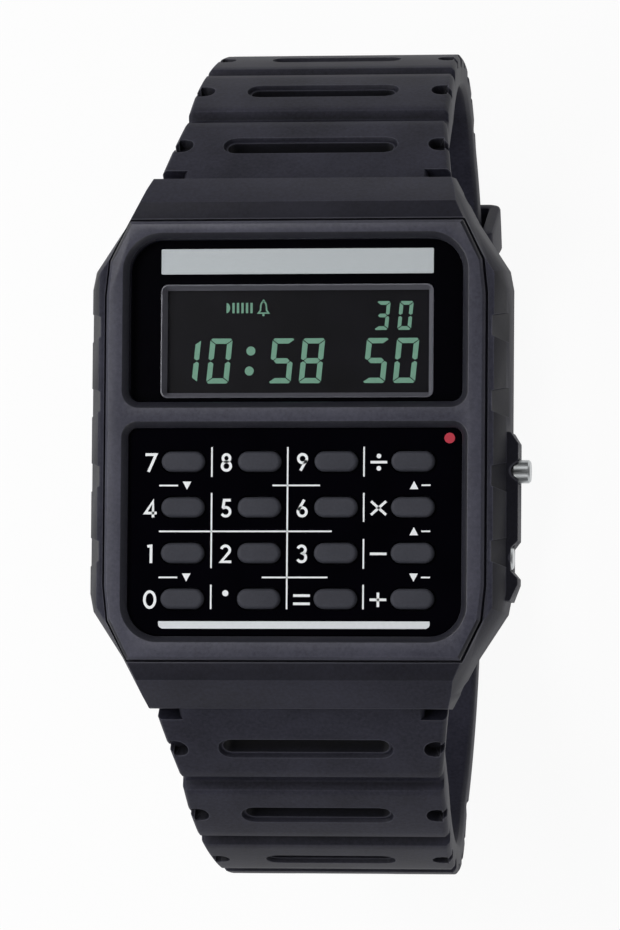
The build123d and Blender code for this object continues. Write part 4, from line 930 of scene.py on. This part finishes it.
rules = {
    "width": 0.13, "top": -0.55, "low": -13.68,
    "uprights": {  # x of each upright line, and its gaps
        -6.8: [(-2.96, -4.27), (-10.36, -11.7)], -0.59: [],
        5.64: [(-2.96, -4.27), (-6.62, -8.0), (-10.4, -11.7)]},
    "levels": {  # y of each level line, and its runs
        -3.66: [(-11.1, -9.56), (-1.82, 2.06), (10.34, 11.07)], -7.38: [(-11.1, 3.05), (10.34, 11.07)],
        -11.11: [(-11.1, -9.56), (-2.64, 2.73), (10.34, 11.07)]},
    "arrows": (  # place, and the way that each points
        (-8.83, -3.66, -1), (9.73, -3.66, 1), (9.73, -7.38, 1), (-8.83, -11.11, -1), (9.73, -11.11, -1)),
    "arrowHalf": 0.35, "arrowFoot": 0.32, "arrowTip": 0.34,
}


def printRules(work):
    v, width = rules, rules["width"]
    for x, breaks in v["uprights"].items():
        y = v["top"]
        for first, last in breaks:
            printLine(work, x, y, x, first, width)
            y = last
        printLine(work, x, y, x, v["low"], width)
    for y, pieces in v["levels"].items():
        for first, last in pieces:
            printLine(work, first, y, last, y, width)
    half = v["arrowHalf"]
    for x, y, way in v["arrows"]:
        foot, tip = y - way * v["arrowFoot"], y + way * v["arrowTip"]
        patch(work, [(x - half, foot), (x + half, foot), (x, tip)], printing["panelZ"])


def faceUp(work):
    bmesh.ops.recalc_face_normals(work, faces=work.faces)
    for face in work.faces:
        if face.normal.z < 0:
            face.normal_flip()


def thicken(obj, name, thickness):
    depth = obj.modifiers.new(name, "SOLIDIFY")
    depth.thickness = thickness * mm
    depth.offset = 1.0


def inkPiece(work, name, material):
    faceUp(work)
    obj = newObject(name, meshFrom(work, name), material)
    thicken(obj, "inkDepth", printing["inkDepth"])
    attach(obj, "root")


def keypadPrint():
    work = bmesh.new()
    for row, digits in zip(labels["rows"], labels["digits"]):
        for x, digit in zip(labels["columns"], digits):
            printDigit(work, digit, x, row)
    printSigns(work)
    printRules(work)
    inkPiece(work, "keypadPrint", whiteInk)
    bar = bmesh.new()
    x0, x1, high, low = printing["bar"]
    points = [(x0, high), (x0, low + 0.3), (x0 + 0.08, low + 0.12), (x0 + 0.3, low), (x1 - 0.3, low),
              (x1 - 0.08, low + 0.12), (x1, low + 0.3), (x1, high)]
    patch(bar, points, printing["panelZ"])
    inkPiece(bar, "keypadBar", barInk)
    dot = bmesh.new()
    disc(dot, *printing["dot"], printing["panelZ"])
    inkPiece(dot, "modeDot", redInk)


segmentCodes = {
    "0": "abcdef", "1": "bc", "2": "abged", "3": "abgcd", "4": "fgbc", "5": "afgcd", "6": "afgedc",
    "7": "abc", "8": "abcdefg", "9": "abcdfg",
}


def segmentShapes(w, h, t):  # seven mitred bars in a box, with a hair gap at the joints
    g, m, c = 0.05, h / 2, t * 0.28
    a = [(c + g, h), (w - c - g, h), (w - g, h - c), (w - t - g, h - t), (t + g, h - t), (g, h - c)]
    f = [(0, h - c - g), (t, h - t - g), (t, m + t / 2), (t * 0.45, m + g), (0, m + c + g)]
    e = [(x, h - y) for x, y in f]
    return {
        "a": a, "b": [(w - x, y) for x, y in f], "c": [(w - x, y) for x, y in e],
        "d": [(x, h - y) for x, y in a], "e": e, "f": f,
        "g": [(t * 0.5 + g, m), (t + g, m + t / 2), (w - t - g, m + t / 2), (w - t * 0.5 - g, m),
              (w - t - g, m - t / 2), (t + g, m - t / 2)],
    }


display = {
    "slant": 0.095, "bigHeight": 3.66, "bigWidth": 1.82, "bigStroke": 0.43, "baseY": 4.71,
    "big": ((-10.12, "1"), (-7.53, "0"), (-2.42, "5"), (0.06, "8"), (5.3, "5"), (7.76, "0")),
    "colon": ((-3.87, 7.35), (-3.99, 5.72)), "dotRadius": 0.37,
    "smallHeight": 2.34, "smallWidth": 1.12, "smallStroke": 0.3, "smallY": 9.02,
    "small": ((6.22, "3"), (8.1, "0")),
    "markY": 10.85, "tongueX": -5.9, "barX": -5.42, "barCount": 5, "barPitch": 0.37, "barWidth": 0.19,
    "barLowY": 10.43, "barHighY": 11.27, "bellX": -2.86, "bellWidth": 0.85, "bellStroke": 0.13,
    "bellDot": (0.58, 0.1),
}


def displayMarks():
    work = bmesh.new()
    z = printing["displayZ"]

    def number(x0, y0, digit, w, h, t):
        shapes = segmentShapes(w, h, t)
        for code in segmentCodes[digit]:
            patch(work, [(x0 + x + y * display["slant"], y0 + y) for x, y in shapes[code]], z)

    v = display
    for x, digit in v["big"]:
        number(x, v["baseY"], digit, v["bigWidth"], v["bigHeight"], v["bigStroke"])
    for x, digit in v["small"]:
        number(x, v["smallY"], digit, v["smallWidth"], v["smallHeight"], v["smallStroke"])
    for x, y in v["colon"]:
        disc(work, x, y, v["dotRadius"], z)
    patch(work, arc(v["tongueX"], v["markY"], 0.3, 0.42, -90, 90, 8), z)
    for i in range(v["barCount"]):
        x, low, high = v["barX"] + i * v["barPitch"], v["barLowY"], v["barHighY"]
        patch(work, [(x, low), (x + v["barWidth"], low), (x + v["barWidth"], high), (x, high)], z)
    bell = [(-0.5, -0.42), (-0.3, -0.2), (-0.27, 0.12)] + arc(0, 0.15, 0.26, 0.36, 165, 15, 8)
    bell += [(0.27, 0.12), (0.3, -0.2), (0.5, -0.42)]
    placed = [(x * v["bellWidth"] + v["bellX"], y + v["markY"]) for x, y in bell]
    stroke(work, placed, v["bellStroke"], z, closed=True)
    dotY, dotRadius = v["bellDot"]
    for side in (1, -1):
        disc(work, v["bellX"], v["markY"] + side * dotY, dotRadius, z)
    inkPiece(work, "displayMarks", segmentInk)


surround = {
    "half": 11.15, "lowY": 3.5, "highY": 12.7, "width": 0.36, "topZ": 6.97, "lowZ": 6.4, "radius": 0.55,
    "wall": 0.03,
}


def displaySurround():  # sloped frame round the display, with rounded outer corners
    v = surround
    work = bmesh.new()
    rings = []
    for inset, radius, z in ((0, v["radius"], v["topZ"]), (0.07, v["radius"] - 0.05, v["topZ"] + 0.03),
                             (v["width"], 0.12, v["lowZ"]), (v["width"] + 0.05, 0.1, v["lowZ"] - 0.08)):
        points = roundedBox(v["half"] - inset, v["lowY"] + inset, v["highY"] - inset, radius)
        rings.append([newVert(work, x, y, z) for x, y in points])
    for a, b in zip(rings, rings[1:]):
        bridge(work, a, b)
    faceUp(work)
    obj = newObject("displaySurround", meshFrom(work, "displaySurround"), rimPlastic)
    thicken(obj, "wall", v["wall"])
    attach(obj, "root")


keypadPrint()
displayMarks()
displaySurround()
print("stage: print and display")

# Finishes of the pieces that stay as they are: steel where nothing else is named
finishes = (
    (windowClear, "display_window"), (maskBlack, "display_mask"), (bandMetal, "name_band"),
    (lcdDark, "lcd_panel"), (panelBlack, "keypad_panel chip"), (boardGreen, "main_board"),
    (backSteel, "battery case_back"), (brass, "piezo_disc"), (caseResin, "case_body"), (bezelResin, "bezel"),
    (strapResin, "strap_upper strap_lower loose_keeper"),
    (softRubber, "lcd_connectors keypad_mat module_frame case_gasket mode_pusher_seal adjust_pusher_seal"),
)
nodeFinishes = {node: material for material, nodes in finishes for node in nodes.split()}
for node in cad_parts:
    paint(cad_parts[node], keyRubber if node.startswith("key_") else nodeFinishes.get(node, steel))
print("stage: finishes")

# Studio: pale floor, soft lamps, camera

studio = {
    "floorHalf": 1.2, "floorWhite": 0.93, "worldLevel": 0.3, "darkCone": 0.93,
    "left": ((-0.19, 0.03, 0.22), (0.34, 0.13), 0.7), "top": ((0.02, 0.3, 0.4), (0.4, 0.2), 0.25),
    "right": ((0.14, -0.32, 0.38), (0.4, 0.2), 0.45),
}


def buildFloor():
    half = studio["floorHalf"]
    level = cadBox[0][2]
    mesh = bpy.data.meshes.new("studioFloor")
    corners = [(x * half, y * half, level) for x, y in ((-1, -1), (1, -1), (1, 1), (-1, 1))]
    mesh.from_pydata(corners, [], [(0, 1, 2, 3)])
    material, tree, shader, output = newMaterial("paleStudioPaper")
    shader.inputs["Base Color"].default_value = linearColour("#f4f4f4")
    shader.inputs["Roughness"].default_value = 0.9
    light = addNode(tree, "ShaderNodeLightPath")
    seen = addNode(tree, "ShaderNodeMath", {
        0: light.outputs["Is Camera Ray"], 1: light.outputs["Is Glossy Ray"]}, operation="MAXIMUM")
    seenToo = addNode(tree, "ShaderNodeMath", {
        0: seen.outputs[0], 1: light.outputs["Is Transmission Ray"]}, operation="MAXIMUM")
    share = addNode(tree, "ShaderNodeMath", {
        0: seenToo.outputs[0], 1: studio["floorWhite"]}, operation="MULTIPLY")
    glow = addNode(tree, "ShaderNodeEmission", {"Color": linearColour("#ffffff"), "Strength": 1.0})
    mix = addNode(tree, "ShaderNodeMixShader", {
        0: share.outputs[0], 1: shader.outputs["BSDF"], 2: glow.outputs["Emission"]})
    tree.links.new(mix.outputs["Shader"], output.inputs["Surface"])
    floor = newObject("studioFloor", mesh, material)


def buildWorld():
    world = bpy.data.worlds.new("softStudio")
    bpy.context.scene.world = world
    world.use_nodes = True
    tree = world.node_tree
    tree.nodes.clear()
    place = addNode(tree, "ShaderNodeTexCoord")
    split = addNode(tree, "ShaderNodeSeparateXYZ", {0: place.outputs["Generated"]})
    ramp = addNode(tree, "ShaderNodeValToRGB", {"Fac": split.outputs["Z"]})
    ramp.color_ramp.elements[0].position = 0.1
    ramp.color_ramp.elements[0].color = (0.35, 0.35, 0.37, 1)
    ramp.color_ramp.elements[1].position = studio["darkCone"] + 0.03
    ramp.color_ramp.elements[1].color = (0.01, 0.01, 0.012, 1)
    ramp.color_ramp.elements.new(studio["darkCone"] - 0.3).color = (1, 1, 1, 1)
    ramp.color_ramp.elements.new(studio["darkCone"] - 0.08).color = (1, 1, 1, 1)
    sky = addNode(tree, "ShaderNodeBackground", {
        "Color": ramp.outputs["Color"], "Strength": studio["worldLevel"]})
    white = addNode(tree, "ShaderNodeBackground", {"Color": (1, 1, 1, 1), "Strength": 1.0})
    light = addNode(tree, "ShaderNodeLightPath")
    mix = addNode(tree, "ShaderNodeMixShader", {
        0: light.outputs["Is Camera Ray"], 1: sky.outputs[0], 2: white.outputs[0]})
    addNode(tree, "ShaderNodeOutputWorld", {"Surface": mix.outputs["Shader"]})


def addLamp(name, place, size, power):
    data = bpy.data.lights.new(name, "AREA")
    data.shape = "RECTANGLE"
    data.size, data.size_y = size
    data.energy = power
    lamp = newObject(name, data)
    lamp.location = place
    lamp.rotation_euler = (-Vector(place)).to_track_quat("-Z", "Y").to_euler()


def buildCamera():
    view = {
        "yaw": 8.4, "pitch": 3.7, "roll": 0.45, "distance": 600.0, "scale": 12.38,
        "dialPixel": (293.8, 439.6), "dialZ": 8.2,
    }
    width, height = 620, 930
    yaw, pitch, roll = (math.radians(view[name]) for name in ("yaw", "pitch", "roll"))
    back = Vector((math.sin(yaw) * math.cos(pitch), -math.sin(pitch), math.cos(yaw) * math.cos(pitch)))
    level = Vector((math.cos(yaw), 0, -math.sin(yaw)))
    upright = back.cross(level)
    right = level * math.cos(roll) + upright * math.sin(roll)
    up = upright * math.cos(roll) - level * math.sin(roll)
    aside = (width / 2 - view["dialPixel"][0]) / view["scale"] * mm
    above = (view["dialPixel"][1] - height / 2) / view["scale"] * mm
    place = Vector((0, 0, view["dialZ"] * mm)) + right * aside + up * above + back * view["distance"] * mm
    data = bpy.data.cameras.new("camera")
    data.sensor_fit = "VERTICAL"
    data.sensor_height = 24
    data.lens = view["scale"] * view["distance"] / height * data.sensor_height
    data.clip_start = 0.01
    camera = newObject("camera", data)
    camera.matrix_world = Matrix.Translation(place) @ Matrix((right, up, back)).transposed().to_4x4()
    bpy.context.scene.camera = camera


buildFloor()
buildWorld()
for name in ("left", "top", "right"):
    addLamp(name + "Softbox", *studio[name])
buildCamera()
bpy.context.scene.view_settings.view_transform = "Standard"
print("stage: studio")
